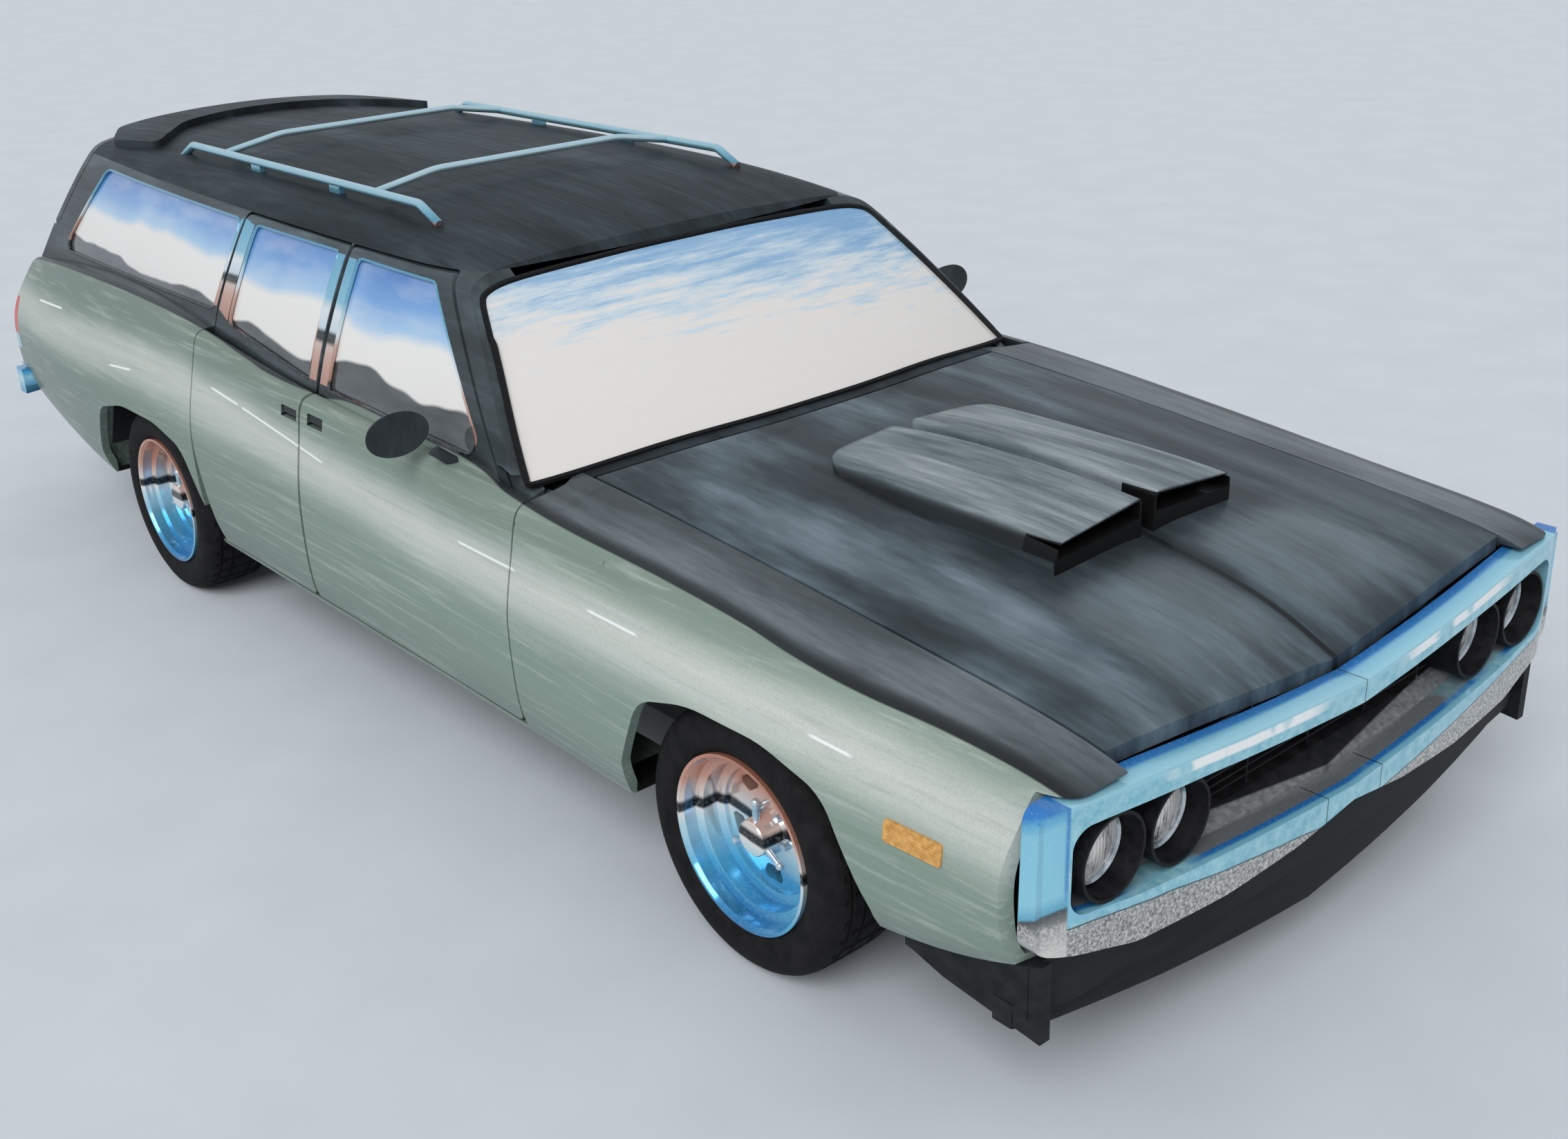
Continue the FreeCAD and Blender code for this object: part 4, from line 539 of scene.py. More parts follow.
M = {
    "paint": paint_finish(),
    "charcoal": charcoal_finish("charcoal_paint", (28, 32, 34), (38, 44, 48), (50, 59, 65), (70, 81, 88)),
    "mirror": charcoal_finish("mirror_paint", (44, 48, 51), (56, 62, 66), (70, 78, 82), (98, 108, 113)),
    "hood": hood_finish(),
    "fixed_glass": fixed_glass_finish(),
    "door_glass": door_glass_finish(),
    "loop": loop_finish(),
    "bumper": chrome_finish("bumper_chrome", 0.415, 0.525, BAR_REFLECTIONS, 0.05),
    "rail": chrome_finish("rack_chrome", 1.36, 1.44, RACK_REFLECTIONS, 0.05),
    "post": chrome_finish("post_chrome", 0.945, 1.30, POST_REFLECTIONS, 0.02),
    "rear_post": chrome_finish("rear_post_chrome", 1.03, 1.31, POST_REFLECTIONS, 0.02),
    "front_bead": chrome_finish("front_window_bead", 0.925, 1.30, BEAD_REFLECTIONS, 0.01),
    "rear_bead": chrome_finish("rear_window_bead", 0.970, 1.30, BEAD_REFLECTIONS, 0.01),
    "quarter_bead": chrome_finish("quarter_window_bead", 1.005, 1.30, BEAD_REFLECTIONS, 0.01),
    "rim": chrome_finish("wheel_chrome", 0.106, 0.534, RIM_REFLECTIONS, 0.03),
    "black": plain_finish("black_moulding", (34, 34, 36), (18, 18, 20), 0.5, bumps=0.1, gloss=0.12),
    "valance": plain_finish("dark_valance", (42, 42, 45), (26, 29, 31), 0.5, scale=12, stretch=(2, 0.4, 3),
                            gloss=0.1),
    "grille": grille_finish(),
    "rubber": plain_finish("tyre_rubber", (34, 33, 35), (18, 18, 19), 0.75, scale=26, bumps=0.3, gloss=0.12),
    "gasket": plain_finish("rubber_gasket", (26, 27, 29), (16, 16, 17), 0.6, scale=60, gloss=0.15),
    "vinyl": plain_finish("seat_vinyl", (58, 62, 62), (40, 44, 44), 0.46, scale=30, bumps=0.35),
    "chassis": plain_finish("chassis_black", (44, 43, 42), (22, 22, 22), 0.62, scale=14, bumps=0.25,
                            gloss=0.15),
    "iron": plain_finish("cast_iron", (98, 96, 92), (58, 56, 54), 0.6, 0.5, 30, bumps=0.5),
    "steel": plain_finish("exhaust_steel", (150, 148, 144), (104, 98, 92), 0.38, 0.8, 18),
    "bezel": plain_finish("lamp_ring_chrome", (214, 220, 226), (150, 160, 170), 0.12, 0.5, 30),
    # Hub chrome mottled between pale and blue, the blue a painted sky reflection
    "hub": plain_finish("hub_chrome", (226, 232, 238), (120, 170, 200), 0.12, 0.6, 26),
    "lens": lens_finish(),
    "signal": signal_finish(),
}


def both(*names):
    """Names with each side's word after them."""
    return ["%s_%s" % (name, side) for name in names for side, out in SIDES]


# Finish of each of the part's nodes
NODE_FINISHES = {
    "paint": ["body_sides", "front_fenders", "tailgate"] + both("front_door", "rear_door"),
    "charcoal": ["roof_panel", "cowl_and_firewall"],
    "mirror": both("mirror"),
    "hood": ["hood"],
    "door_glass": ["tailgate_glass"] + both("front_door_glass", "rear_door_glass"),
    "fixed_glass": ["fixed_glass"],
    "loop": ["front_loop_bumper"],
    "bumper": ["rear_bumper"],
    "grille": ["grille"],
    "black": ["headlamps", "steering_wheel"],
    "valance": ["front_valance"],
    "signal": ["signal_lamps"],
    "rail": ["roof_rack"],
    "vinyl": ["bench_seats", "dashboard"],
    "chassis": ["floor_pan", "chassis_frame", "front_suspension", "fuel_tank"],
    "iron": ["rear_axle", "engine_block"] + both("knuckle"),
    "steel": ["exhaust"],
    "rim": both("rim_front", "rim_rear"),
    "rubber": both("tyre_front", "tyre_rear"),
}
for finish, dressed in NODE_FINISHES.items():
    for node in dressed:
        nodes[node].data.materials.clear()
        nodes[node].data.materials.append(M[finish])


# Making of pieces
SHARP_EDGE = math.radians(35)
MERGE = 2e-5
CUT = 1e-6


def placed(name, data):
    """A new object in the scene."""
    thing = bpy.data.objects.new(name, data)
    bpy.context.scene.collection.objects.link(thing)
    return thing


def add_piece(name, shape, body, material):
    """Turn a bmesh into a piece that rides on a body."""
    mesh = bpy.data.meshes.new(name)
    shape.to_mesh(mesh)
    shape.free()
    mesh.materials.append(M[material])
    for face in mesh.polygons:
        face.use_smooth = True
    mesh.set_sharp_from_angle(angle=SHARP_EDGE)
    thing = placed(name, mesh)
    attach(thing, body)
    return thing


def copied(node):
    """A node's mesh to work on, its doubled vertices merged."""
    shape = bmesh.new()
    shape.from_mesh(nodes[node].data)
    bmesh.ops.remove_doubles(shape, verts=shape.verts, dist=MERGE)
    return shape


def cut_away(shape, point, outward):
    """Take off what lies beyond a plane."""
    bmesh.ops.bisect_plane(shape, geom=shape.verts[:] + shape.edges[:] + shape.faces[:], dist=CUT,
                           plane_co=point, plane_no=outward, clear_outer=True)


def tilted(shape, angle):
    """Turn a whole bmesh about the y axis."""
    bmesh.ops.rotate(shape, verts=shape.verts, cent=(0, 0, 0), matrix=Matrix.Rotation(angle, 3, "Y"))


def peg(shape, foot, tip, length, sides, turn, place):
    """Add a cylinder or cone to a bmesh, turned and then moved to its place."""
    made = bmesh.ops.create_cone(shape, cap_ends=True, segments=sides, radius1=foot, radius2=tip,
                                 depth=length)
    bmesh.ops.rotate(shape, verts=made["verts"], cent=(0, 0, 0), matrix=turn)
    bmesh.ops.translate(shape, verts=made["verts"], vec=place)


def spun(section, middle, axis, steps, closed):
    """A ring made by spinning a line of points about an axis."""
    shape = bmesh.new()
    verts = [shape.verts.new(point) for point in section]
    for a, b in zip(verts, verts[1:]):
        shape.edges.new((a, b))
    if closed:
        shape.edges.new((verts[-1], verts[0]))
    bmesh.ops.spin(shape, geom=shape.verts[:] + shape.edges[:], cent=middle, axis=axis,
                   angle=2 * math.pi, steps=steps, use_merge=True)
    bmesh.ops.recalc_face_normals(shape, faces=shape.faces)
    return shape


# Bright trim, lamps and wheels
BEAD_RADIUS, BEAD_LIFT, BEAD_STEP = 0.0055, 0.006, 0.014
WINDSHIELD_GASKET, GATE_GASKET, GASKET_LIFT = 0.009, 0.007, 0.004
COVER_LIFT, COVER_THICK = 0.0015, 0.0012
SHORTEST_OUTLINE = 0.6


def bead(name, points, radius, body, material):
    """A round bead along a closed line of points."""
    curve = bpy.data.curves.new(name, "CURVE")
    curve.dimensions = "3D"
    line = curve.splines.new("POLY")
    line.points.add(len(points) - 1)
    for point, place in zip(line.points, points):
        point.co = (*place, 1)
    line.use_cyclic_u = True
    curve.bevel_depth = radius
    curve.bevel_resolution = 1
    drawn = placed(name, curve)
    bpy.context.view_layer.update()
    mesh = bpy.data.meshes.new_from_object(drawn)
    bpy.data.objects.remove(drawn)
    shape = bmesh.new()
    shape.from_mesh(mesh)
    bpy.data.meshes.remove(mesh)
    add_piece(name, shape, body, material)


def evenly(points, gap):
    """The same closed line with points a steady gap apart."""
    line = list(points) + [points[0]]
    out, left = [line[0].copy()], gap
    for a, b in zip(line, line[1:]):
        length = (b - a).length
        at = left
        while at < length:
            out.append(a.lerp(b, at / length))
            at += gap
        left = at - length
    if (out[-1] - out[0]).length < gap * 0.4:
        out.pop()
    return out


def pane_outlines(node, facing, keep=lambda p: True):
    """Outlines of the faces of a node that look one way, each as an ordered loop of points."""
    shape = copied(node)
    facing = Vector(facing).normalized()
    drop = [f for f in shape.faces if f.normal.dot(facing) < 0.35 or not keep(f.calc_center_median())]
    bmesh.ops.delete(shape, geom=drop, context="FACES")
    loops, seen = [], set()
    for edge in shape.edges:
        if not edge.is_boundary or edge in seen:
            continue
        loop, vert = [], edge.verts[0]
        while edge and edge not in seen:
            seen.add(edge)
            loop.append(vert.co.copy())
            vert = edge.other_vert(vert)
            ahead = [e for e in vert.link_edges if e.is_boundary and e not in seen]
            edge = ahead[0] if ahead else None
        if sum((b - a).length for a, b in zip(loop, loop[1:])) > SHORTEST_OUTLINE:
            loops.append(loop)
    shape.free()
    return loops


def beads_round(name, node, body, facing, radius, lift, material, keep=lambda p: True):
    """Beads laid round each pane of a node, lifted along the way it faces."""
    lifted = Vector(facing).normalized() * lift
    for number, loop in enumerate(pane_outlines(node, facing, keep)):
        points = [p + lifted for p in evenly(loop, BEAD_STEP)]
        bead("%s_%d" % (name, number), points, radius, body, material)


def skin_patch(name, node, body, planes, facing, lift, thick, material):
    """A thin panel that follows a node's surface, cut out by planes given as (point, way out)."""
    shape = copied(node)
    facing = Vector(facing).normalized()
    bmesh.ops.delete(shape, geom=[f for f in shape.faces if f.normal.dot(facing) < 0.3], context="FACES")
    for point, outward in planes:
        cut_away(shape, point, outward)
    shape.normal_update()
    for vert, normal in [(v, v.normal.copy()) for v in shape.verts]:
        vert.co += normal * lift
    bmesh.ops.solidify(shape, geom=shape.faces[:], thickness=thick)
    add_piece(name, shape, body, material)


def window_trim():
    """Bright beads round the side windows, dark gaskets round the windshield and the tailgate's glass."""
    for side, out in SIDES:
        for door in ("front", "rear"):
            beads_round("%s_window_trim_%s" % (door, side), "%s_door_glass_%s" % (door, side),
                        "door_%s_%s" % (door, side), (0, out, 0.25), BEAD_RADIUS, BEAD_LIFT, "%s_bead" % door)
        beads_round("quarter_window_trim_%s" % side, "fixed_glass", "body", (0, out, 0.25), BEAD_RADIUS,
                    BEAD_LIFT, "quarter_bead", lambda p, out=out: p.x < -0.7 and p.y * out > 0)
    beads_round("windshield_gasket", "fixed_glass", "body", (1, 0, 0.8), WINDSHIELD_GASKET,
                GASKET_LIFT, "gasket", lambda p: p.x > 0.2)
    beads_round("tailgate_glass_gasket", "tailgate_glass", "tailgate", (-1, 0, 0.3), GATE_GASKET,
                GASKET_LIFT, "gasket")


# Covers of the posts between the side windows: name, carrier, finish and corners (x, z)
POST_COVERS = [
    ("front_post_cover", "front_door", "post",
     [(-0.138, 0.952), (-0.096, 0.952), (-0.096, 1.286), (-0.138, 1.286)]),
    ("middle_post_cover", "rear_door", "post",
     [(-0.203, 0.954), (-0.162, 0.954), (-0.162, 1.288), (-0.203, 1.288)]),
    ("rear_post_cover", "rear_door", "rear_post",
     [(-0.838, 1.034), (-0.768, 1.012), (-0.741, 1.288), (-0.809, 1.298)]),
    ("quarter_post_cover", "body_sides", "rear_post",
     [(-0.880, 1.040), (-0.857, 1.040), (-0.822, 1.298), (-0.842, 1.290)]),
]


def pillar_covers():
    """Bright covers on the posts between the side windows."""
    for side, out in SIDES:
        for name, carrier, finish, corners in POST_COVERS:
            planes = []
            for (ax, az), (bx, bz) in zip(corners, corners[1:] + corners[:1]):
                planes.append((Vector((ax, 0, az)), Vector((bz - az, 0, ax - bx))))
            planes.append((Vector((0, 0, 0)), Vector((0, -out, 0))))
            node, body = carrier, "body"
            if carrier != "body_sides":
                node, body = "%s_%s" % (carrier, side), "door_%s_%s" % (carrier.split("_")[0], side)
            skin_patch("%s_%s" % (name, side), node, body, planes, (0, out, 0.2), COVER_LIFT,
                       COVER_THICK, finish)


# The strip along the top of each front fender: x, and how far out at its lower edge, middle and upper edge
FENDER_STRIP = [
    (0.953, 0.9394, 0.9380, 0.9361), (1.000, 0.9390, 0.9376, 0.9355), (1.050, 0.9384, 0.9369, 0.9346),
    (1.100, 0.9376, 0.9360, 0.9335), (1.150, 0.9366, 0.9349, 0.9321), (1.200, 0.9355, 0.9335, 0.9306),
    (1.250, 0.9342, 0.9319, 0.9286), (1.298, 0.9327, 0.9303, 0.9265),
]
STRIP_LEVELS, STRIP_THICK = (0.8480, 0.8555, 0.8625), 0.003


def painted_sheets(name, rows, thick):
    """A body-coloured sheet through rows of points on the right-hand side, and its mirror image."""
    for word, side in SIDES:
        shape = bmesh.new()
        laid = [[shape.verts.new((x, side * y, z)) for x, y, z in row] for row in rows]
        for near, far in zip(laid, laid[1:]):
            for a, b, c, d in zip(near, near[1:], far[1:], far):
                shape.faces.new((a, b, c, d) if side < 0 else (d, c, b, a))
        shape.normal_update()
        bmesh.ops.solidify(shape, geom=shape.faces[:], thickness=thick)
        add_piece("%s_%s" % (name, word), shape, "body", "paint")


def fender_strips():
    """Strips that close the seam along the top of each front fender."""
    rows = [[(x, reach[row], z) for x, *reach in FENDER_STRIP] for row, z in enumerate(STRIP_LEVELS)]
    painted_sheets("fender_top_strip", rows, STRIP_THICK)


# The rear corners beside the tailgate: height, and x at the tailgate's edge
CORNER_PROFILE = [
    (0.530, -2.5935), (0.560, -2.5930), (0.620, -2.5914), (0.700, -2.5860), (0.730, -2.5822),
    (0.760, -2.5770), (0.780, -2.5718), (0.800, -2.5650), (0.820, -2.5562), (0.840, -2.5450),
    (0.860, -2.5321), (0.880, -2.5180),
]
# Their columns from the outer edge in, and round into the jamb: y, and how far ahead of the profile
CORNER_COLUMNS, CORNER_THICK = [(0.818, 0.0053), (0.752, 0.0), (0.754, 0.045)], 0.0025


def rear_corners():
    """Corner panels beside the tailgate, turned in as a jamb along its edge."""
    columns = [[(x + ahead, y, z) for z, x in CORNER_PROFILE] for y, ahead in CORNER_COLUMNS]
    painted_sheets("rear_corner", columns, CORNER_THICK)


# Headlamps: x of the seat in the tube, the ring's section (x from the seat, radius), and the lens as the
# cap of a ball: its radius, where it is cut and how far it stands ahead of the seat
LAMP_SEAT = 2.550
RING_SECTION = [(0.002, 0.0755), (0.012, 0.0775), (0.017, 0.0745), (0.012, 0.0705), (0.004, 0.070)]
RING_STEPS = 40
LENS_BALL, LENS_CUT, LENS_AHEAD = 0.193, 0.1785, 0.022


def lamp_faces():
    """Fluted lenses and bright rings for the four headlamps."""
    for number, (y, z) in enumerate(LAMP_PLACES):
        section = [(LAMP_SEAT + dx, y, z + r) for dx, r in RING_SECTION]
        ring = spun(section, (LAMP_SEAT, y, z), (1, 0, 0), RING_STEPS, False)
        add_piece("headlamp_ring_%d" % number, ring, "body", "bezel")
        lens = bmesh.new()
        bmesh.ops.create_uvsphere(lens, u_segments=48, v_segments=28, radius=LENS_BALL)
        tilted(lens, math.pi / 2)
        cut_away(lens, (LENS_CUT, 0, 0), (-1, 0, 0))
        bmesh.ops.translate(lens, verts=lens.verts, vec=(LAMP_SEAT + LENS_AHEAD - LENS_BALL, y, z))
        add_piece("headlamp_lens_%d" % number, lens, "body", "lens")


# Each axle's end of the wagon, track and rim width
AXLES = [("front", FRONT_AXLE, 1.654, 0.225), ("rear", REAR_AXLE, 1.660, 0.235)]
# Tread: steps round the tyre, radius where the blocks begin, where the shoulder begins, steps from cut to
# cut, and the cuts' width and depth
TREAD_STEPS, TREAD_START, SHOULDER_OUT, CUT_EVERY = 108, 0.3165, 0.06, 3
CUT_WIDE, CUT_DEEP = 0.0035, 0.004


def tyre(name, axle, side, width, track, body):
    """Road tyre with round shoulders, four grooves and cross cuts, spun about the axle."""
    half = width / 2 - 0.012
    middle = side * track / 2
    outline = [(0.2045, half - 0.001), (0.214, half), (0.222, half + 0.007), (0.240, half + 0.0125),
               (0.262, half + 0.0155), (0.284, half + 0.0135), (0.300, half + 0.006), (0.310, half - 0.004),
               (0.3165, half - 0.016), (0.3185, half - 0.028), (0.3120, half - 0.031), (0.3120, half - 0.037),
               (0.3192, half - 0.040), (0.3198, half - 0.066), (0.3130, half - 0.069), (0.3130, half - 0.075),
               (0.3200, half - 0.078)]
    outline += [(r, -w) for r, w in reversed(outline)]
    section = [(axle.x, middle + w, axle.z + r) for r, w in outline]
    shape = spun(section, (axle.x, middle, axle.z), (0, 1, 0), TREAD_STEPS, True)
    blocks = []
    for face in shape.faces:
        place = face.calc_center_median() - Vector((axle.x, middle, axle.z))
        reach = math.hypot(place.x, place.z)
        turn = int(round(math.atan2(place.z, place.x) / (2 * math.pi) * TREAD_STEPS - 0.5))
        shoulder = 1 if abs(place.y) > SHOULDER_OUT else 0
        if reach > TREAD_START and (turn + shoulder) % CUT_EVERY == 0:
            blocks.append(face)
    bmesh.ops.inset_individual(shape, faces=blocks, thickness=CUT_WIDE, depth=-CUT_DEEP)
    thing = add_piece(name, shape, body, "rubber")
    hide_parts(name.replace("road_", ""))


# Spinner bars: distance from the axle, radius, length and height over the disc, and the knob at their tip
SPINNER_OUT, SPINNER_RADIUS, SPINNER_LENGTH, SPINNER_HIGH = 0.062, 0.0085, 0.046, 0.044
KNOB_RADIUS, KNOB_AHEAD = 0.0105, 0.024
# Wheel nuts: circle, height over the disc, radius at foot and tip, and length
NUT_CIRCLE, NUT_HIGH, NUT_FOOT, NUT_TIP, NUT_LENGTH = 0.05715, 0.008, 0.0105, 0.0095, 0.020


def wheel_details(name, axle, side, width, track, body):
    """Spinner bars with round ends, and wheel nuts, on a wheel's disc."""
    disc = side * (track + width) / 2 - side * DISH
    parts = bmesh.new()
    for i in range(3):
        angle = math.radians(120 * i + 90)
        way = Vector((math.cos(angle), 0, math.sin(angle)))
        turn = Vector((0, 0, 1)).rotation_difference(way).to_matrix()
        middle = Vector((axle.x, disc + side * SPINNER_HIGH, axle.z)) + way * SPINNER_OUT
        peg(parts, SPINNER_RADIUS, SPINNER_RADIUS, SPINNER_LENGTH, 14, turn, middle)
        knob = bmesh.ops.create_uvsphere(parts, u_segments=14, v_segments=8, radius=KNOB_RADIUS)
        bmesh.ops.translate(parts, verts=knob["verts"], vec=middle + way * KNOB_AHEAD)
    for i in range(5):
        angle = math.radians(72 * i + 54)
        place = (axle.x + NUT_CIRCLE * math.cos(angle), disc + side * NUT_HIGH,
                 axle.z + NUT_CIRCLE * math.sin(angle))
        peg(parts, NUT_FOOT, NUT_TIP, NUT_LENGTH, 6, Matrix.Rotation(math.pi / 2, 3, "X"), place)
    bmesh.ops.bevel(parts, geom=[e for e in parts.edges if e.calc_length() > 0.012], offset=0.0008,
                    segments=1, profile=0.5, affect="EDGES", material=-1)
    add_piece(name, parts, body, "hub")


def wheels():
    """Tyres and bright details of the four wheels."""
    for end, axle, track, width in AXLES:
        for word, side in SIDES:
            body = "wheel_%s_%s" % (end, word)
            tyre("road_tyre_%s_%s" % (end, word), axle, side, width, track, body)
            wheel_details("spinner_%s_%s" % (end, word), axle, side, width, track, body)


# Cabin. Bench pads: name, width, depth, thickness, middle and tilt in degrees
SEAT_PADS = [
    ("front_seat_cushion", 1.38, 0.50, 0.13, (0.035, 0, 0.520), -4),
    ("front_seat_back", 1.38, 0.60, 0.11, (-0.345, 0, 0.800), -72),
    ("rear_seat_cushion", 1.31, 0.42, 0.13, (-0.540, 0, 0.545), -4),
    ("rear_seat_back", 1.31, 0.50, 0.10, (-0.808, 0, 0.830), -88),
]
CHANNELS = 12
# Their frames: two corners of each box and the rounding of its edges
SEAT_FRAMES = [
    ((-0.235, -0.66, 0.400), (0.26, 0.66, 0.456), 0.012),
    ((-0.745, -0.64, 0.345), (-0.345, -0.16, 0.480), 0.012),
    ((-0.745, 0.16, 0.345), (-0.345, 0.64, 0.480), 0.012),
    ((-0.19, -0.58, 0.325), (0.23, -0.54, 0.405), 0.006),
    ((-0.19, 0.54, 0.325), (0.23, 0.58, 0.405), 0.006),
]
# Doors' inner trim: the card's ends and top, and x of the winder's axis
DOOR_CARDS = [("front", -0.055, 0.845, 0.885, 0.62), ("rear", -0.785, -0.245, 0.90, -0.40)]
# How far out the card, armrest, winder's knob, its crank and the pull reach, from and to
CARD_OUT, ARM_OUT, KNOB_OUT, CRANK_OUT, PULL_OUT = (
    (0.8705, 0.8775), (0.815, 0.872), (0.835, 0.872), (0.835, 0.845), (0.850, 0.871))


def seat_pad(name, width, depth, thick, place, tilt):
    """A crowned bench pad with sewn channels, its edges pulled in between the corners."""
    shape = bmesh.new()
    bmesh.ops.create_cube(shape, size=1.0)
    bmesh.ops.scale(shape, verts=shape.verts, vec=(depth, width, thick))
    for way, length, cuts in ((1, width, 96), (0, depth, 18), (2, thick, 5)):
        edges = [e for e in shape.edges if abs((e.verts[0].co - e.verts[1].co)[way]) > length * 0.5]
        bmesh.ops.subdivide_edges(shape, edges=edges, cuts=cuts, use_grid_fill=True)
    for vert in shape.verts:
        x, y, z = vert.co.x / depth * 2, vert.co.y / width * 2, vert.co.z / thick * 2
        crown = (1 - x ** 4) * (1 - y ** 8)
        inner = abs(x) < 0.72 and abs(y) < 0.94
        seam = math.exp(-(((y * CHANNELS / 2) % 1.0 - 0.5) / 0.09) ** 2) if inner else 0.0
        border = math.exp(-((abs(x) - 0.74) / 0.05) ** 2) * (1 if abs(y) < 0.95 else 0)
        vert.co.z = thick / 2 * z * (0.76 + 0.24 * crown) - (0.007 * seam + 0.006 * border) * max(z, 0) ** 2
        round_off = 1 - 0.10 * abs(z) ** 3
        vert.co.x = depth / 2 * x * round_off * (1 - 0.012 * (1 - y * y))
        vert.co.y = width / 2 * y * (1 - 0.02 * abs(z) ** 3) * (1 - 0.012 * (1 - x * x))
    tilted(shape, math.radians(tilt))
    bmesh.ops.translate(shape, verts=shape.verts, vec=place)
    pad = add_piece(name, shape, "body", "vinyl")
    smooth = pad.modifiers.new("smooth", "SUBSURF")
    smooth.levels = smooth.render_levels = 1
    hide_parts("bench_seats")


def rounded_box(shape, low, high, radius):
    """Add a box with rounded edges to a bmesh."""
    low, high = Vector(low), Vector(high)
    made = bmesh.ops.create_cube(shape, size=1.0)
    bmesh.ops.scale(shape, verts=made["verts"], vec=high - low)
    edges = list({e for v in made["verts"] for e in v.link_edges})
    done = bmesh.ops.bevel(shape, geom=edges, offset=radius, segments=3, profile=0.5, affect="EDGES",
                           material=-1)
    verts = list({v for f in done["faces"] for v in f.verts} | {v for v in made["verts"] if v.is_valid})
    bmesh.ops.translate(shape, verts=verts, vec=(low + high) / 2)


def side_box(shape, out, x, y, z, radius):
    """A rounded box on one side of the wagon, its y limits given as distances out."""
    near, far = sorted((out * y[0], out * y[1]))
    rounded_box(shape, (x[0], near, z[0]), (x[1], far, z[1]), radius)


def seats():
    """Two benches on their frames."""
    for name, width, depth, thick, place, tilt in SEAT_PADS:
        seat_pad(name, width, depth, thick, place, tilt)
    frames = bmesh.new()
    for low, high, radius in SEAT_FRAMES:
        rounded_box(frames, low, high, radius)
    stand = add_piece("seat_frames", frames, "body", "black")
    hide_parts("bench_seats")


def door_cards():
    """Inner trim of the doors: panel, armrest, pull and winder."""
    for side, out in SIDES:
        for door, x0, x1, top, grip in DOOR_CARDS:
            body = "door_%s_%s" % (door, side)
            card = bmesh.new()
            side_box(card, out, (x0, x1), CARD_OUT, (0.395, top), 0.003)
            side_box(card, out, (x0 + 0.16, x0 + 0.42), ARM_OUT, (0.640, 0.700), 0.016)
            add_piece("%s_door_card_%s" % (door, side), card, body, "vinyl")
            winder = bmesh.new()
            side_box(winder, out, (grip - 0.01, grip + 0.01), KNOB_OUT, (0.560, 0.580), 0.005)
            side_box(winder, out, (grip - 0.09, grip + 0.01), CRANK_OUT, (0.562, 0.578), 0.004)
            side_box(winder, out, (grip - 0.11, grip), PULL_OUT, (0.770, 0.790), 0.006)
            add_piece("%s_door_winder_%s" % (door, side), winder, body, "bezel")


# On the tailgate: two corners of the lift handle, and the lock's place
PULL_CORNERS = (-2.6150, -0.085, 0.786), (-2.5980, 0.085, 0.816)
LOCK_PLACE = (-2.6195, 0, 0.736)


def tailgate_pull():
    """Lift handle and lock barrel in the middle of the tailgate."""
    pull = bmesh.new()
    rounded_box(pull, *PULL_CORNERS, 0.005)
    peg(pull, 0.012, 0.011, 0.014, 20, Matrix.Rotation(-math.pi / 2, 3, "Y"), LOCK_PLACE)
    add_piece("tailgate_pull", pull, "tailgate", "bezel")


# Floor, light and camera. Sky that lights, what the camera and mirrors see of it, and the sun
SKY, SKY_LIGHT, BACKDROP = (250, 250, 249), 0.62, (200, 208, 216)
SUN_LIGHT, SUN_SPREAD, SUN_FROM = 1.9, 40, (0.35, -0.65, 0.67)
FLOOR_REACH = 60
# Solved from the wagon's known points in the drawing: azimuth, elevation and roll in degrees, lens and place
VIEW_TURN, VIEW_LENS, VIEW_PLACE = (49.47, 23.64, -2.17), 39.91, (4.279, -2.947, 2.390)


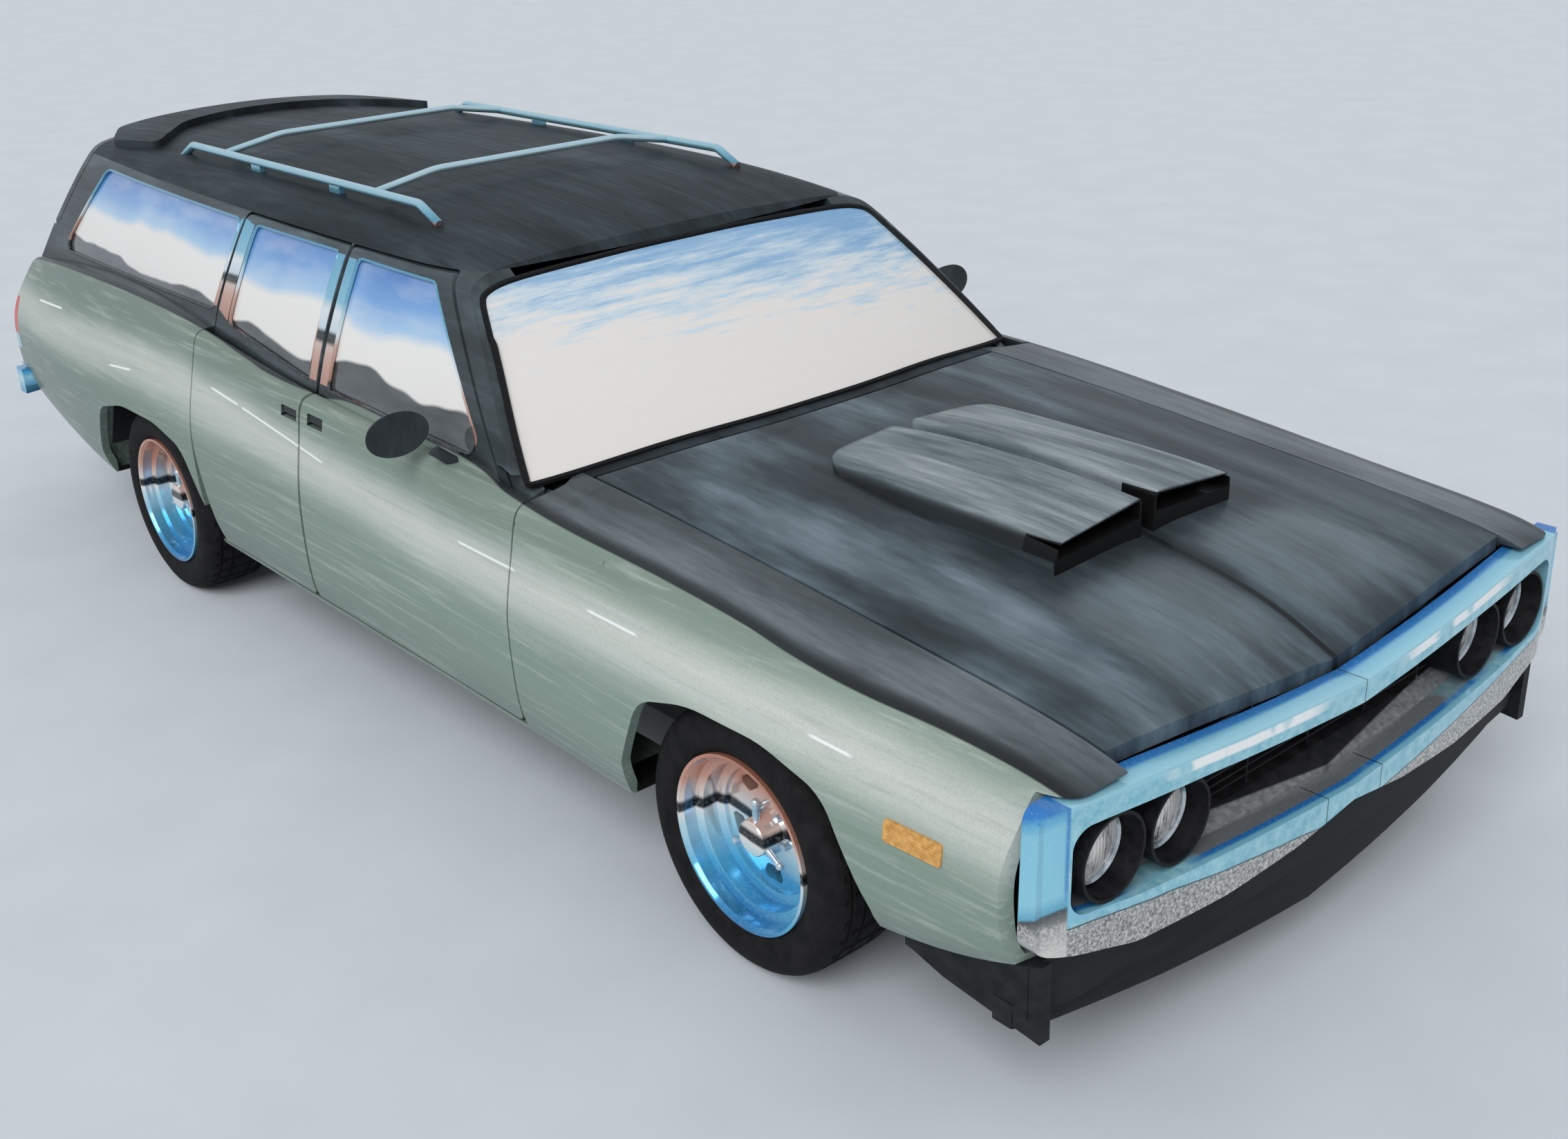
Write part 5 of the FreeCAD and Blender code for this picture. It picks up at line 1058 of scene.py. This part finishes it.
def studio():
    """Pale floor, an even sky and one broad, soft sun."""
    world = bpy.data.worlds[0] if bpy.data.worlds else bpy.data.worlds.new("studio")
    bpy.context.scene.world = world
    world.use_nodes = True
    nodes, links = world.node_tree.nodes, world.node_tree.links
    sky = nodes["Background"]
    sky.inputs[0].default_value = tone(*SKY)
    sky.inputs[1].default_value = SKY_LIGHT
    backdrop = nodes.new("ShaderNodeBackground")
    backdrop.inputs[0].default_value = tone(*BACKDROP)
    rays = nodes.new("ShaderNodeLightPath")
    seen = rays.outputs["Is Camera Ray"]
    for way in ("Is Glossy Ray", "Is Transmission Ray"):
        either = nodes.new("ShaderNodeMath")
        either.operation = "MAXIMUM"
        links.new(seen, either.inputs[0])
        links.new(rays.outputs[way], either.inputs[1])
        seen = either.outputs[0]
    shown = nodes.new("ShaderNodeMixShader")
    links.new(seen, shown.inputs[0])
    links.new(sky.outputs[0], shown.inputs[1])
    links.new(backdrop.outputs[0], shown.inputs[2])
    links.new(shown.outputs[0], nodes["World Output"].inputs["Surface"])

    sheet = bmesh.new()
    bmesh.ops.create_grid(sheet, x_segments=1, y_segments=1, size=FLOOR_REACH)
    mesh = bpy.data.meshes.new("floor")
    sheet.to_mesh(mesh)
    sheet.free()
    floor = placed("floor", mesh)
    paper = Finish("pale_floor", rough=0.9)
    grain = paper.noise(3.0, detail=4.0)
    paper.set("Base Color", paper.ramp(grain, [(0.3, 198, 205, 213), (0.7, 203, 210, 218)]))
    mesh.materials.append(paper.material)

    data = bpy.data.lights.new("soft_sun", "SUN")
    data.energy = SUN_LIGHT
    data.angle = math.radians(SUN_SPREAD)
    sun = placed("soft_sun", data)
    sun.rotation_euler = Vector(SUN_FROM).to_track_quat("Z", "Y").to_euler()


def drawing_camera():
    """Camera at the drawing's viewing angle."""
    azimuth, elevation, roll = (math.radians(v) for v in VIEW_TURN)
    turn = Matrix.Rotation(azimuth, 4, "Z") @ Matrix.Rotation(math.pi / 2 - elevation, 4, "X")
    data = bpy.data.cameras.new("camera")
    data.sensor_width = 36.0
    data.lens = VIEW_LENS
    data.clip_end = 200
    camera = placed("camera", data)
    camera.matrix_world = Matrix.Translation(VIEW_PLACE) @ turn @ Matrix.Rotation(roll, 4, "Z")
    bpy.context.scene.camera = camera


window_trim()
pillar_covers()
fender_strips()
rear_corners()
lamp_faces()
wheels()
seats()
door_cards()
tailgate_pull()
studio()
drawing_camera()
bpy.context.scene.view_settings.view_transform = "Standard"
